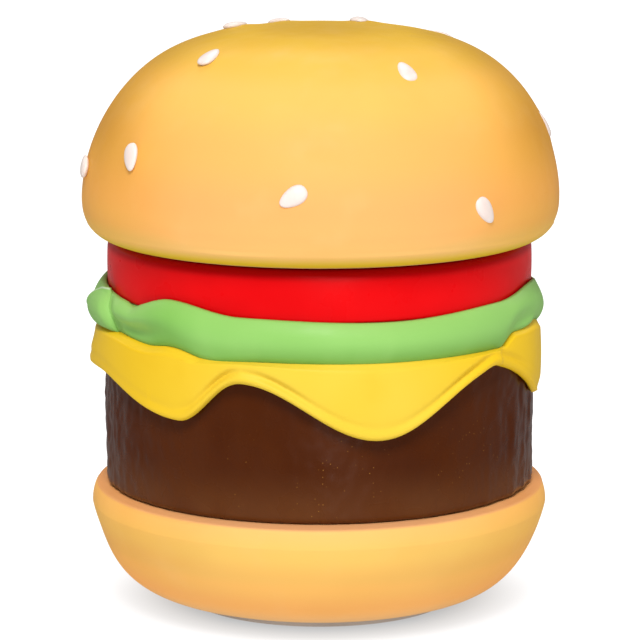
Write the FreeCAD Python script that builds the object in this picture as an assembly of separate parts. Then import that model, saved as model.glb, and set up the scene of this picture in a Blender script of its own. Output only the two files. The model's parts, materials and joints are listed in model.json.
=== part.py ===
import FreeCAD, Part
import math
import os

# Hamburger flip telephone, in millimetres.
# +Z is up and the front faces -Y. The origin is the middle of the foot pad's underside.
# The top bun is a hinged lid with the earpiece, on a body of stacked food layers round a chassis drum.

# ---- driving dimensions -------------------------------------------------------------------
BUN_R = 60.0            # widest radius of the top bun
BUN_WAIST_Z = 103.6     # height of its widest line
BUN_TOP_Z = 145.8
BUN_LIP_Z = 93.6        # underside of the lip that turns in under the bun
BUN_TUCK = 9.0          # how far the lip turns in
DOME_N = 3.25           # superellipse powers of the dome and the lip
DOME_M = 1.8
LIP_N = 2.2
WALL = 2.5
GAP = 0.05              # standing clearance between pieces that touch

BASE_R = 57.3           # bottom bun
BASE_WIDE_Z = 26.3
BASE_TOP_Z = 31.5
BASE_LOW_Z = 2.4
BASE_CORE_R = 13.0
BASE_N = 5.5            # superellipse powers of the bowl, across and down
BASE_M = 1.15
BASE_OPENING_R = 34.5
BASE_RIM_IN = 1.1       # the crisp rim stands this far inside the widest radius
BASE_RIM_DOWN = 0.55    # and this far below the top
BASE_SHELF_R = 53.9     # the flat that carries the patty ends here

DRUM_R = 46.0           # chassis drum that the layers slide over
DRUM_WALL = 2.0
DRUM_LOW_Z = 31.6
DRUM_TOP_Z = 88.9
BORE_R = 46.4           # inner radius of each food layer

PATTY_R = 53.6
PATTY_TOP_Z = 69.2
CHEESE_R = 56.6
CHEESE_TOP_Z = 71.2
CHEESE_SKIRT_R = 54.3   # inside of the hanging part, clear of the patty
CHEESE_LOW_Z = 50.0     # below the lowest point of the hanging edge
LETTUCE_R = 57.3
LETTUCE_TOP_Z = 80.3    # where the tomato sits
LETTUCE_FRILL_Z = 84.5  # above the highest point of the rim
TOMATO_R = 53.2
TOMATO_TOP_Z = 93.3

DECK_R = 49.9
DECK_Z = 89.2           # underside of the keypad deck
DECK_T = 2.0
BOARD_Z = 83.4
BOARD_T = 1.6

HINGE_Y = 57.2
HINGE_Z = 91.5
KNUCKLE_R = 3.8
HEEL_R = 4.8            # heel on each ear that meets the stop plate at full opening
HEEL_HALF_ANGLE = 20.0
BARREL_X = 12.0         # half length of the middle knuckle
EAR_X0 = 12.3
EAR_X1 = 20.0
PIN_R = 1.5
BUSH_R = 2.4
LEAD_R = 0.9
LEAD_X = -5.2           # where the lead turns out of the barrel
LEAD_JOIN_X = -10.0     # the lid's lead and the body's lead meet here
LEAD_HOLE_X = -16.0     # the lid's lead leaves the bush here, on a slant into the lid
LEAD_HOLE_SLANT = 30.0  # degrees from upright, towards the front

PLATE_R = 50.8          # lid face plate
PLATE_Z = 93.8
PLATE_T = 2.2
SPEAKER_Y = -22.0
SPEAKER_Z = PLATE_Z + PLATE_T + GAP
SPEAKER_POST_X = 21.0

KEY_PITCH_X = 18.5
KEY_ROWS_Y = (23.0, 9.0, -5.0, -19.0)
KEY_NAMES = (("1", "2", "3"), ("4", "5", "6"), ("7", "8", "9"), ("star", "0", "hash"))
KEY_W = 14.0
KEY_D = 10.5
FUNCTION_Y = -30.0
FUNCTION_NAMES = ("redial", "flash", "mute")
FUNCTION_W = 11.0
FUNCTION_D = 6.0
KEY_TOP_Z = 92.7
KEY_LOW_Z = 88.05
KEY_FLANGE = 1.0        # how far the retaining flange stands out round a cap
KEY_CLEAR = 0.2

PLUNGER_Y = 37.0
MIC_Y = -39.7
SCREW_R = 1.3
SCREW_HEAD_R = 2.4
SCREW_HEAD_H = 1.1
PILOT_R = 1.35
HOLE_R = 1.5
DECK_SCREWS = ((34.0, 19.0), (34.0, -19.0), (-34.0, 19.0), (-34.0, -19.0))
KEYBOARD_SCREWS = ((30.5, 7.0), (30.5, -7.0), (-30.5, 7.0), (-30.5, -7.0))
MAIN_Z = 44.0
MAIN_SCREWS = ((24.0, -25.0), (-24.0, -25.0), (24.0, 17.0), (-24.0, 17.0))
FLOOR_SCREWS = ((37.0, 0.0), (-37.0, 0.0), (0.0, 37.0), (0.0, -37.0))
BALLAST_BOSS_Z = 11.0   # top of the boss that the ballast slips over
BALLAST_SEAT_Z = 13.0   # seat of the ballast's own screw
COVER_SCREW_R = 31.5    # radius of the ring of screws in the base cover
LID_SCREW_R = 43.0
BRACKET_SCREW_X = 9.0
BRACKET_SCREW_Y = 36.0

PANEL_X = 17.0          # rear panel, set into the back of the patty
PANEL_Y = 47.4
PANEL_T = 2.0
PANEL_Z0 = 38.0
PANEL_Z1 = 62.0
JACK_Z0 = 48.0
JACK_Z1 = 61.0
JACK_X = 7.0
SOCKET_X = 4.9
SOCKET_Z0 = 50.6
SOCKET_Z1 = 57.6
SOCKET_DEPTH = 11.0
SWITCH_X = 9.3          # the two slide switches stand this far each side of the middle
SWITCH_Z = 42.7
SWITCH_TRAVEL = 4.0

# Lower edge of the cheese: (azimuth from the front towards +X in degrees, height).
CHEESE_EDGE = ((-100, 60.5), (-74, 61.8), (-38, 55.0), (-20, 65.7), (15, 52.2), (49, 66.4),
               (88, 53.8), (116, 64.5), (146, 54.5), (172, 65.0), (202, 53.5), (234, 64.8))
# Upper edge of the lettuce's frilled rim, in the same way.
LETTUCE_EDGE = ((-83, 81.8), (-58, 81.2), (-42, 83.9), (-20, 81.4), (20, 79.7), (54, 81.8),
                (75, 83.6), (100, 81.5), (125, 83.8), (150, 80.6), (180, 82.8), (210, 80.8),
                (240, 83.4))
# Sesame seeds: (azimuth, dome angle above the waist, turn about the seed's own normal), degrees.
SEEDS = ((-46, 63, 10), (30, 57, -5), (-52, 22, 205), (-6, 13, 122), (41, 5, 215), (85, 28, 10),
         (-79, 14, 60), (146, 82, 40), (-113, 78, 70), (122, 64, -50), (112, 12, 25),
         (132, 43, -35), (158, 24, 15), (-170, 58, 50), (-150, 11, -20), (-122, 33, 30),
         (-128, 56, -60), (178, 6, 80), (-158, 74, 15))


# ---- small helpers ------------------------------------------------------------------------
def vec(x, y, z):
    return FreeCAD.Vector(x, y, z)


def rod(radius, x, y, z0, z1):
    """A vertical cylinder."""
    return Part.makeCylinder(radius, z1 - z0, vec(x, y, z0))


def rod_x(radius, y, z, x0, x1):
    """A cylinder along X."""
    return Part.makeCylinder(radius, x1 - x0, vec(x0, y, z), vec(1, 0, 0))


def block(x0, x1, y0, y1, z0, z1):
    return Part.makeBox(x1 - x0, y1 - y0, z1 - z0, vec(x0, y0, z0))


def revolved(points):
    """A solid of revolution about Z from (radius, height) corners."""
    corners = [vec(r, 0, z) for r, z in points]
    face = Part.Face(Part.makePolygon(corners + corners[:1]))
    return face.revolve(vec(0, 0, 0), vec(0, 0, 1), 360)


def ring(outer, inner, z0, z1):
    return revolved(((inner, z0), (outer, z0), (outer, z1), (inner, z1)))


def side_plate(points, x0, x1):
    """A prism along X from (y, z) corners."""
    corners = [vec(x0, y, z) for y, z in points]
    face = Part.Face(Part.makePolygon(corners + corners[:1]))
    return face.extrude(vec(x1 - x0, 0, 0))


def rounded_plate(x, y, width, depth, z0, z1, radius):
    """An upright plate with rounded vertical corners, centred on x, y."""
    plate = block(x - width / 2, x + width / 2, y - depth / 2, y + depth / 2, z0, z1)
    upright = [e for e in plate.Edges if abs(e.BoundBox.ZLength - (z1 - z0)) < 1e-6]
    return plate.makeFillet(radius, upright)


def fused(shapes):
    """One solid from pieces that share volume."""
    body = shapes[0].fuse(shapes[1:]) if len(shapes) > 1 else shapes[0]
    return body.removeSplitter()


def drilled(body, tools):
    return body.cut(tools) if tools else body


def direction(azimuth):
    """The unit vector at an azimuth measured from the front (-Y) towards +X."""
    a = math.radians(azimuth)
    return vec(math.sin(a), -math.cos(a), 0)


def eased_height(pairs, azimuth):
    """Height at an azimuth, eased between neighbouring (azimuth, height) pairs."""
    start = pairs[0][0]
    turn = (azimuth - start) % 360 + start
    closed = list(pairs) + [(start + 360, pairs[0][1])]
    for (a0, h0), (a1, h1) in zip(closed, closed[1:]):
        if a0 <= turn <= a1:
            share = (1 - math.cos(math.pi * (turn - a0) / (a1 - a0))) / 2
            return h0 + (h1 - h0) * share
    return pairs[0][1]


def wavy_cutter(pairs, inner, outer, rise):
    """A solid whose wavy face follows pairs, between two radii; it reaches rise above that face."""
    count = 72
    steps = [360 * i / count for i in range(count)]
    curves = []
    for radius in (inner, outer):
        points = [direction(a) * radius + vec(0, 0, eased_height(pairs, a)) for a in steps]
        curve = Part.BSplineCurve()
        curve.interpolate(Points=points, PeriodicFlag=True, Parameters=[float(i) for i in range(count + 1)])
        curves.append(curve.toShape())
    face = Part.makeRuledSurface(curves[0], curves[1])
    return face.extrude(vec(0, 0, rise))


def tube(points, bends, radius):
    """A round lead along straight runs joined by tangent arcs of the given bend radii."""
    edges = []
    last = points[0]
    for before, corner, after, bend in zip(points, points[1:], points[2:], bends):
        back = (before - corner).normalize()
        ahead = (after - corner).normalize()
        half = back.getAngle(ahead) / 2
        reach = bend / math.tan(half)
        middle = (back + ahead).normalize()
        centre = corner + middle * (bend / math.sin(half))
        start = corner + back * reach
        end = corner + ahead * reach
        edges.append(Part.LineSegment(last, start).toShape())
        edges.append(Part.Arc(start, centre - middle * bend, end).toShape())
        last = end
    edges.append(Part.LineSegment(last, points[-1]).toShape())
    path = Part.Wire(edges)
    section = Part.Wire(Part.makeCircle(radius, points[0], points[1] - points[0]))
    return path.makePipeShell([section], True, False)


def screw(x, y, seat_z, length, up=True):
    """A cross-head screw: its head's bearing face is at seat_z and its shank points up or down."""
    shank = Part.makeCylinder(SCREW_R, length - SCREW_R, vec(0, 0, 0))
    tip = Part.makeCone(SCREW_R, 0.3, SCREW_R, vec(0, 0, length - SCREW_R))
    head = Part.makeCylinder(SCREW_HEAD_R, SCREW_HEAD_H, vec(0, 0, -SCREW_HEAD_H))
    slot_long = SCREW_HEAD_R * 0.6
    slot_half = 0.3
    slot_deep = 0.6
    low = -SCREW_HEAD_H - 0.1
    cross = [block(-slot_long, slot_long, -slot_half, slot_half, low, low + slot_deep),
             block(-slot_half, slot_half, -slot_long, slot_long, low, low + slot_deep)]
    body = fused([shank, tip, head]).cut(cross)
    if not up:
        body.rotate(vec(0, 0, 0), vec(1, 0, 0), 180)
    body.translate(vec(x, y, seat_z))
    return body


def spread(count, radius, first=0.0):
    """Points evenly spaced round a circle, as (x, y)."""
    angles = [math.radians(first + 360 * i / count) for i in range(count)]
    return [(radius * math.cos(a), radius * math.sin(a)) for a in angles]


# ---- bun outlines -------------------------------------------------------------------------
def bulge(r_core, r_out, z_wide, z_end, n, m, t):
    """A point of a superelliptic quarter outline: t is 0 at the widest line and 90 at the end."""
    a = math.radians(t)
    r = r_core + (r_out - r_core) * abs(math.cos(a)) ** (2 / n)
    z = z_wide + (z_end - z_wide) * abs(math.sin(a)) ** (2 / m)
    return r, z


def outline_curve(samples, first_way, last_way):
    curve = Part.BSplineCurve()
    points = [vec(r, 0, z) for r, z in samples]
    curve.interpolate(Points=points, InitialTangent=first_way, FinalTangent=last_way)
    return curve.toShape()


def dome_curve(shrink):
    steps = [0, 6, 13, 21, 30, 40, 50, 60, 70, 78, 84, 88, 90]
    samples = [bulge(0, BUN_R - shrink, BUN_WAIST_Z, BUN_TOP_Z - shrink, DOME_N, DOME_M, t) for t in steps]
    samples[-1] = (0, BUN_TOP_Z - shrink)
    return outline_curve(samples, vec(0, 0, 1), vec(-1, 0, 0))


def lip_curve(shrink):
    """The lip's outline, from its inner end under the bun to the waist."""
    inner = BUN_R - BUN_TUCK
    steps = [90, 78, 65, 52, 39, 26, 13, 0]
    low = BUN_LIP_Z + shrink
    samples = [bulge(inner, BUN_R - shrink, BUN_WAIST_Z, low, LIP_N, LIP_N, t) for t in steps]
    samples[0] = (inner, low)
    return outline_curve(samples, vec(1, 0, 0), vec(0, 0, 1))


def turned(edges):
    """A solid of revolution from a closed run of edges in the XZ plane."""
    face = Part.Face(Part.Wire(Part.__sortEdges__(edges)))
    return face.revolve(vec(0, 0, 0), vec(0, 0, 1), 360)


def line(r0, z0, r1, z1):
    return Part.LineSegment(vec(r0, 0, z0), vec(r1, 0, z1)).toShape()


def full_dome(shrink):
    """The bun above its waist as a filled solid."""
    edges = [dome_curve(shrink), line(0, BUN_TOP_Z - shrink, 0, BUN_WAIST_Z),
             line(0, BUN_WAIST_Z, BUN_R - shrink, BUN_WAIST_Z)]
    return turned(edges)


# ---- lid ----------------------------------------------------------------------------------
def ear(side):
    """One hinge ear: knuckle, neck up into the lip, and the heel that stops the lid."""
    x0, x1 = sorted((side * EAR_X0, side * EAR_X1))
    knuckle = rod_x(KNUCKLE_R, HINGE_Y, HINGE_Z, x0, x1)
    neck = side_plate(((53.5, 92.4), (53.5, 94.0), (51.0, 94.2), (51.0, 96.2), (54.0, 98.4),
                       (57.4, 98.4), (60.4, 93.5), (60.4, 91.5)), x0, x1)
    far = HINGE_Y + HEEL_R + 1
    spread_z = (HEEL_R + 1) * math.tan(math.radians(HEEL_HALF_ANGLE))
    wedge = side_plate(((HINGE_Y, HINGE_Z), (far, HINGE_Z - spread_z), (far, HINGE_Z + spread_z)), x0, x1)
    heel = rod_x(HEEL_R, HINGE_Y, HINGE_Z, x0, x1).common(wedge)
    return [knuckle, neck, heel]


def lead_way():
    """The slant of the lid's lead as it leaves the bush."""
    slant = math.radians(LEAD_HOLE_SLANT)
    return vec(0, -math.sin(slant), math.cos(slant))


def lead_hole(radius, start, length):
    base = vec(LEAD_HOLE_X, HINGE_Y, HINGE_Z) + lead_way() * start
    return Part.makeCylinder(radius, length, base, lead_way())


def top_bun_shell():
    inner = BUN_R - BUN_TUCK
    edges = [lip_curve(0), dome_curve(0), line(0, BUN_TOP_Z, 0, BUN_TOP_Z - WALL), dome_curve(WALL),
             lip_curve(WALL), line(inner, BUN_LIP_Z + WALL, inner, BUN_LIP_Z)]
    shell = turned(edges)
    filled = full_dome(1.0)
    low = PLATE_Z + PLATE_T + GAP
    parts = [shell]
    tools = []
    for x, y in spread(4, LID_SCREW_R, 45):
        boss = rod(3.5, x, y, BUN_WAIST_Z, BUN_TOP_Z).common(filled)
        parts.append(boss.fuse(rod(3.5, x, y, low, BUN_WAIST_Z + 1)))
        tools.append(rod(PILOT_R, x, y, low - 1, low + 9))
    relief = rod_x(KNUCKLE_R + 0.4, HINGE_Y, HINGE_Z, -EAR_X0, EAR_X0)
    parts[0] = shell.cut(relief)
    for side in (-1, 1):
        parts.extend(ear(side))
    tools.append(rod_x(PIN_R + 0.02, HINGE_Y, HINGE_Z, EAR_X0 - 1, EAR_X1 + 1))
    tools.append(rod_x(BUSH_R + 0.02, HINGE_Y, HINGE_Z, -EAR_X1 - 1, -EAR_X0 + 1))
    tools.append(lead_hole(1.3, 0, 12))
    return drilled(fused(parts), tools)


def sesame_seeds():
    """Teardrop seeds pressed into the crust, each a low ellipsoid with a drawn-out point."""
    length, width, height = 3.4, 2.3, 1.1
    seeds = []
    for azimuth, t, spin in SEEDS:
        r, z = bulge(0, BUN_R, BUN_WAIST_Z, BUN_TOP_Z, DOME_N, DOME_M, t)
        r_up, z_up = bulge(0, BUN_R, BUN_WAIST_Z, BUN_TOP_Z, DOME_N, DOME_M, t + 1)
        out = direction(azimuth)
        slope = (out * (r_up - r) + vec(0, 0, z_up - z)).normalize()
        around = vec(0, 0, 1).cross(out)
        normal = around.cross(slope).normalize()
        spun = FreeCAD.Rotation(normal, spin)
        long_way = spun.multVec(slope)
        wide_way = normal.cross(long_way)
        spot = out * r + vec(0, 0, z)
        m = FreeCAD.Matrix(long_way.x * length, wide_way.x * width, normal.x * height, spot.x,
                           long_way.y * length, wide_way.y * width, normal.y * height, spot.y,
                           long_way.z * length, wide_way.z * width, normal.z * height, spot.z,
                           0, 0, 0, 1)
        seeds.append(Part.makeSphere(1.0).transformGeometry(m))
    return Part.makeCompound(seeds)


def speaker_post_places():
    return [(SPEAKER_POST_X, SPEAKER_Y), (-SPEAKER_POST_X, SPEAKER_Y)]


def lid_face_plate():
    low, high = PLATE_Z, PLATE_Z + PLATE_T
    plate = rod(PLATE_R, 0, 0, low, high)
    posts = [rod(3.0, x, y, high - 0.5, high + 5) for x, y in speaker_post_places()]
    dish_r, dish_deep = 17.0, 1.2
    ball = (dish_r ** 2 + dish_deep ** 2) / (2 * dish_deep)
    tools = [Part.makeSphere(ball, vec(0, SPEAKER_Y, low + dish_deep - ball))]
    holes = [(0.0, 0.0)] + spread(6, 4.0) + spread(12, 8.0, 15)
    tools += [rod(0.9, x, y + SPEAKER_Y, low - 1, high + 1) for x, y in holes]
    for x, y in spread(4, LID_SCREW_R, 45):
        tools.append(rod(HOLE_R, x, y, low - 1, high + 1))
        tools.append(rod(SCREW_HEAD_R + 0.2, x, y, low - 1, low + 1.2))
    tools += [rod(PILOT_R, x, y, high - 0.2, high + 6) for x, y in speaker_post_places()]
    tools += [rod(2.6, x, y, low - 1, low + 0.4) for x, y in bumper_places()]
    return drilled(fused([plate] + posts), tools)


def bumper_places():
    return [(-24.0, -40.0), (24.0, -40.0), (-41.0, 24.0), (41.0, 24.0)]


def lid_bumpers():
    top = PLATE_Z + 0.4 - GAP
    low = DECK_Z + DECK_T + GAP
    dots = []
    for x, y in bumper_places():
        dot = rod(2.5, x, y, low, top)
        dots.append(dot.makeFillet(0.6, [e for e in dot.Edges if abs(e.BoundBox.ZMax - low) < 1e-6]))
    return Part.makeCompound(dots)


def at_speaker(shape):
    shape.translate(vec(0, SPEAKER_Y, SPEAKER_Z))
    return shape


def speaker_gasket():
    return at_speaker(ring(16.0, 13.2, 0, 1.0))


def speaker_frame():
    basket = revolved(((16.0, 1.05), (16.0, 2.4), (14.4, 2.4), (9.2, 7.2), (0, 7.2), (0, 6.4), (8.7, 6.4),
                       (13.4, 2.0), (13.4, 1.05)))
    windows = []
    for i in range(4):
        window = block(9.6, 12.6, -3.5, 3.5, 2.9, 6.0)
        window.rotate(vec(0, 0, 0), vec(0, 0, 1), 90 * i + 45)
        windows.append(window)
    terminal = block(-9.0, -3.0, 14.0, 18.5, 1.05, 2.25)
    return at_speaker(drilled(fused([basket, terminal]), windows))


def speaker_diaphragm():
    return at_speaker(revolved(((0, 2.6), (4.0, 3.1), (13.2, 1.15), (13.2, 1.55), (4.0, 3.6), (0, 3.1))))


def speaker_magnet():
    disc = Part.makeCylinder(7.5, 5.0, vec(0, 0, 7.25))
    return at_speaker(disc.makeFillet(0.5, [e for e in disc.Edges if abs(e.BoundBox.ZMin - 12.25) < 1e-6]))


def speaker_retainer():
    """A bridge over the magnet whose feet screw down to the face plate's posts."""
    foot_z = 5.05
    top_z = 12.3
    thick = 1.6
    bar = block(-18.4, 18.4, -4.0, 4.0, top_z, top_z + thick)
    parts = [bar]
    for side in (-1, 1):
        x0, x1 = sorted((side * 16.8, side * 18.4))
        parts.append(block(x0, x1, -4.0, 4.0, foot_z, top_z + thick))
        x0, x1 = sorted((side * 16.8, side * 24.0))
        parts.append(block(x0, x1, -4.0, 4.0, foot_z, foot_z + thick))
    holes = [rod(HOLE_R, x, 0, foot_z - 1, foot_z + 3) for x in (-SPEAKER_POST_X, SPEAKER_POST_X)]
    return at_speaker(drilled(fused(parts), holes))


def lid_screws():
    screws = [screw(x, y, PLATE_Z + 1.2, 8.0) for x, y in spread(4, LID_SCREW_R, 45)]
    seat = SPEAKER_Z + 5.05 + 1.6 + GAP
    screws += [screw(x, y, seat, 6.0, up=False) for x, y in speaker_post_places()]
    return Part.makeCompound(screws)


def lid_lead():
    axis = vec(LEAD_JOIN_X, HINGE_Y, HINGE_Z)
    corner = vec(LEAD_HOLE_X, HINGE_Y, HINGE_Z)
    inside = corner + lead_way() * 9.5
    points = [axis, corner, inside, vec(-15, 24, 101), vec(-6, -2.0, SPEAKER_Z + 3.2),
              vec(-6, -6.0, SPEAKER_Z + 3.2)]
    return tube(points, [1.8, 3.0, 12.0, 3.0], LEAD_R)


# ---- hinge --------------------------------------------------------------------------------
def hinge_bracket():
    """The middle knuckle, its arm, the stop plate behind the tomato, and the tongue into the drum."""
    barrel = rod_x(KNUCKLE_R, HINGE_Y, HINGE_Z, -BARREL_X, BARREL_X)
    arm = side_plate(((50.4, 86.4), (56.5, 86.4), (60.2, 89.2), (57.2, 91.5), (53.2, 92.9), (50.4, 92.9)),
                     -BARREL_X, BARREL_X)
    stop = block(-EAR_X1, EAR_X1, 50.4, 53.2, 86.4, 91.0)
    tongue = block(-BARREL_X, BARREL_X, 32.5, 51.0, 86.4, 88.9)
    screws = [(BRACKET_SCREW_X, BRACKET_SCREW_Y), (-BRACKET_SCREW_X, BRACKET_SCREW_Y)]
    tools = [rod(3.7, 0, PLUNGER_Y, 86, 90)]
    tools += [rod(HOLE_R, x, y, 86, 90) for x, y in screws]
    tools += [rod(SCREW_HEAD_R + 0.2, x, y, 87.6, 90) for x, y in screws]
    tools.append(rod_x(PIN_R + 0.04, HINGE_Y, HINGE_Z, 1.9, BARREL_X + 1))
    tools.append(rod_x(BUSH_R + 0.04, HINGE_Y, HINGE_Z, -BARREL_X - 1, -8.3))
    tools.append(rod_x(1.25, HINGE_Y, HINGE_Z, -9, -5.0))
    tools.append(block(LEAD_X - 1.2, LEAD_X + 1.2, 30, HINGE_Y + 0.3, 86.95, 97))
    return drilled(fused([barrel, arm, stop, tongue]), tools)


def hinge_pin():
    pin = rod_x(PIN_R, HINGE_Y, HINGE_Z, 2.0, EAR_X1)
    return pin.makeChamfer(0.3, [e for e in pin.Edges if e.Curve.TypeId == "Part::GeomCircle"])


def hinge_bush():
    bush = rod_x(BUSH_R, HINGE_Y, HINGE_Z, -EAR_X1, -8.4)
    return bush.cut([rod_x(1.3, HINGE_Y, HINGE_Z, -EAR_X1 - 1, -8), lead_hole(1.3, 0, 5)])


def hinge_washers():
    right = rod_x(3.4, HINGE_Y, HINGE_Z, 12.03, 12.27).cut(rod_x(1.7, HINGE_Y, HINGE_Z, 12, 13))
    left = rod_x(3.4, HINGE_Y, HINGE_Z, -12.27, -12.03).cut(rod_x(2.5, HINGE_Y, HINGE_Z, -13, -12))
    return Part.makeCompound([right, left])


def body_lead():
    points = [vec(LEAD_JOIN_X, HINGE_Y, HINGE_Z), vec(LEAD_X, HINGE_Y, HINGE_Z), vec(LEAD_X, 50.6, 87.95),
              vec(LEAD_X, 30.7, 87.95), vec(LEAD_X, 30.7, 64.0), vec(LEAD_X, 19.0, 52.0),
              vec(LEAD_X, 19.0, MAIN_Z + BOARD_T + GAP)]
    return tube(points, [2.1, 4.0, 1.8, 6.0, 4.0], LEAD_R)


# ---- food layers --------------------------------------------------------------------------
def rims(body, radius):
    """A body's round edges of one radius."""
    round_edges = [e for e in body.Edges if e.Curve.TypeId == "Part::GeomCircle"]
    return [e for e in round_edges if abs(e.Curve.Radius - radius) < 0.01]


def tomato_slice():
    low = LETTUCE_TOP_Z + GAP
    slab = ring(TOMATO_R, BORE_R, low, TOMATO_TOP_Z)
    slab = slab.makeFillet(2.4, rims(slab, TOMATO_R))
    rebate = rod(DECK_R + 0.3, 0, 0, DECK_Z - GAP, TOMATO_TOP_Z + 1)
    notch = block(-EAR_X1 - 0.5, EAR_X1 + 0.5, 40, 60, 86.3, TOMATO_TOP_Z + 1)
    return slab.cut([rebate, notch])


def lettuce_leaf():
    low = CHEESE_TOP_Z + GAP
    top = LETTUCE_FRILL_Z
    disc = ring(LETTUCE_R, BORE_R, low, top)
    disc = disc.makeFillet(1.6, [e for e in rims(disc, LETTUCE_R) if e.BoundBox.ZMax < low + 0.1])
    seat = rod(TOMATO_R + 0.15, 0, 0, LETTUCE_TOP_Z, top + 1)
    return disc.cut([seat, wavy_cutter(LETTUCE_EDGE, TOMATO_R - 3, LETTUCE_R + 3, 8)])


def cheese_slice():
    low = PATTY_TOP_Z + GAP
    body = revolved(((BORE_R, low), (CHEESE_SKIRT_R, low), (CHEESE_SKIRT_R, CHEESE_LOW_Z),
                     (CHEESE_R - 0.6, CHEESE_LOW_Z), (CHEESE_R, CHEESE_TOP_Z - 1.8),
                     (CHEESE_R - 1.4, CHEESE_TOP_Z), (BORE_R, CHEESE_TOP_Z)))
    hanging = wavy_cutter(CHEESE_EDGE, CHEESE_SKIRT_R - 3, CHEESE_R + 3, 30)
    flat = ring(CHEESE_SKIRT_R + 0.6, BORE_R - 5, low, CHEESE_TOP_Z + 2)
    return body.common(hanging.fuse(flat).removeSplitter())


def patty_shell():
    low = BASE_TOP_Z + GAP
    in_r = PATTY_R - WALL
    body = revolved(((BORE_R, low), (PATTY_R - 2, low), (PATTY_R - 0.5, low + 1.6), (PATTY_R, low + 5),
                     (PATTY_R, PATTY_TOP_Z - 3), (PATTY_R - 0.8, PATTY_TOP_Z), (BORE_R, PATTY_TOP_Z),
                     (BORE_R, PATTY_TOP_Z - 2.3), (in_r, PATTY_TOP_Z - 2.3), (in_r, low + 2.4),
                     (BORE_R, low + 2.4)))
    window = block(-PANEL_X - 0.2, PANEL_X + 0.2, 40, 60, PANEL_Z0 - 0.2, PANEL_Z1 + 0.2)
    return body.cut(window)


def bowl_curve(shrink, end_r):
    """The bowl's outline from its widest line in to a radius, and the point where it ends."""
    out_r = BASE_R - shrink
    t_end = math.degrees(math.acos(((end_r - BASE_CORE_R) / (out_r - BASE_CORE_R)) ** (BASE_N / 2)))

    def point(t):
        return bulge(BASE_CORE_R, out_r, BASE_WIDE_Z, BASE_LOW_Z + shrink, BASE_N, BASE_M, t)

    samples = [point(t_end * i / 12) for i in range(13)]
    ahead = point(t_end + 0.5)
    way = vec(ahead[0] - samples[-1][0], 0, ahead[1] - samples[-1][1]).normalize()
    return outline_curve(samples, vec(0, 0, -1), way), samples[-1]


def bottom_bun_shell():
    top_in_r = 32.0
    outer, outer_end = bowl_curve(0, BASE_OPENING_R)
    inner, inner_end = bowl_curve(WALL, 41.0)
    rim_r = BASE_R - BASE_RIM_IN
    rim_z = BASE_TOP_Z - BASE_RIM_DOWN
    rise = rim_z - BASE_WIDE_Z
    round_r = (BASE_RIM_IN ** 2 + rise ** 2) / (2 * BASE_RIM_IN)
    half = math.asin(rise / round_r) / 2
    middle = vec(BASE_R - round_r * (1 - math.cos(half)), 0, BASE_WIDE_Z + round_r * math.sin(half))
    side = Part.Arc(vec(rim_r, 0, rim_z), middle, vec(BASE_R, 0, BASE_WIDE_Z)).toShape()
    in_top = BASE_TOP_Z - WALL
    in_r = BASE_R - WALL
    edges = [line(top_in_r, BASE_TOP_Z, BASE_SHELF_R, BASE_TOP_Z),
             line(BASE_SHELF_R, BASE_TOP_Z, rim_r, rim_z), side, outer,
             line(BASE_OPENING_R, outer_end[1], BASE_OPENING_R, inner_end[1]),
             line(BASE_OPENING_R, inner_end[1], inner_end[0], inner_end[1]), inner,
             line(in_r, BASE_WIDE_Z, in_r - 1, in_top), line(in_r - 1, in_top, top_in_r, in_top),
             line(top_in_r, in_top, top_in_r, BASE_TOP_Z)]
    shell = turned(edges)
    ledge = ring(38.5, 29.0, 3.8, 8.8)
    tools = [rod(PILOT_R, x, y, 3, 12) for x, y in spread(4, COVER_SCREW_R, 45)]
    tools += [rod(HOLE_R, x, y, in_top - 1, BASE_TOP_Z + 1) for x, y in FLOOR_SCREWS]
    return drilled(fused([shell, ledge]), tools)


# ---- body, inside -------------------------------------------------------------------------
def chassis():
    in_r = DRUM_R - DRUM_WALL
    floor_z = DRUM_LOW_Z + 2.4
    drum = ring(DRUM_R, in_r, DRUM_LOW_Z, DRUM_TOP_Z)
    parts = [drum, rod(in_r + 1, 0, 0, DRUM_LOW_Z, floor_z)]
    filled = rod(in_r + 1, 0, 0, DRUM_LOW_Z, DRUM_TOP_Z)
    for x, y in DECK_SCREWS:
        side = 1 if x > 0 else -1
        x0, x1 = sorted((side * 29.9, side * 45.0))
        parts.append(block(x0, x1, y - 3.6, y + 3.6, 82.0, 84.0).common(filled))
    parts.append(block(-14, 14, 32.0, 46, 82.4, 86.3).common(filled))
    for x0, x1 in ((-10.0, -8.0), (8.0, 10.0)):
        parts.append(block(x0, x1, 32.0, 46, 62.6, 83.0).common(filled))
    parts.append(block(-10, 10, 32.0, 46, 62.6, 64.4).common(filled))
    parts += [rod(3.0, x, y, floor_z - 1, MAIN_Z - GAP) for x, y in MAIN_SCREWS]
    parts += [rod(4.0, x, y, floor_z - 1, 41.5) for x, y in FLOOR_SCREWS]
    tools = [rod(HOLE_R, x, y, 81, 85) for x, y in DECK_SCREWS]
    tools += [rod(PILOT_R, x, y, MAIN_Z - 8, MAIN_Z + 1) for x, y in MAIN_SCREWS]
    tools += [rod(PILOT_R, x, y, DRUM_LOW_Z - 1, 40) for x, y in FLOOR_SCREWS]
    tools += [rod(PILOT_R, x, BRACKET_SCREW_Y, 80, 87) for x in (-BRACKET_SCREW_X, BRACKET_SCREW_X)]
    tools.append(rod(3.2, 0, PLUNGER_Y, 82, 87))
    tools.append(block(-BARREL_X - 0.2, BARREL_X + 0.2, 42.0, 50, 86.3, 90))
    tools.append(block(-PANEL_X - 0.5, PANEL_X + 0.5, 41.0, 50, PANEL_Z0 - 0.5, PANEL_Z1 + 0.3))
    tools.append(block(LEAD_X - 1.3, LEAD_X + 1.3, 31.5, 32.3, 82, 87))
    return drilled(fused(parts), tools)


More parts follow.
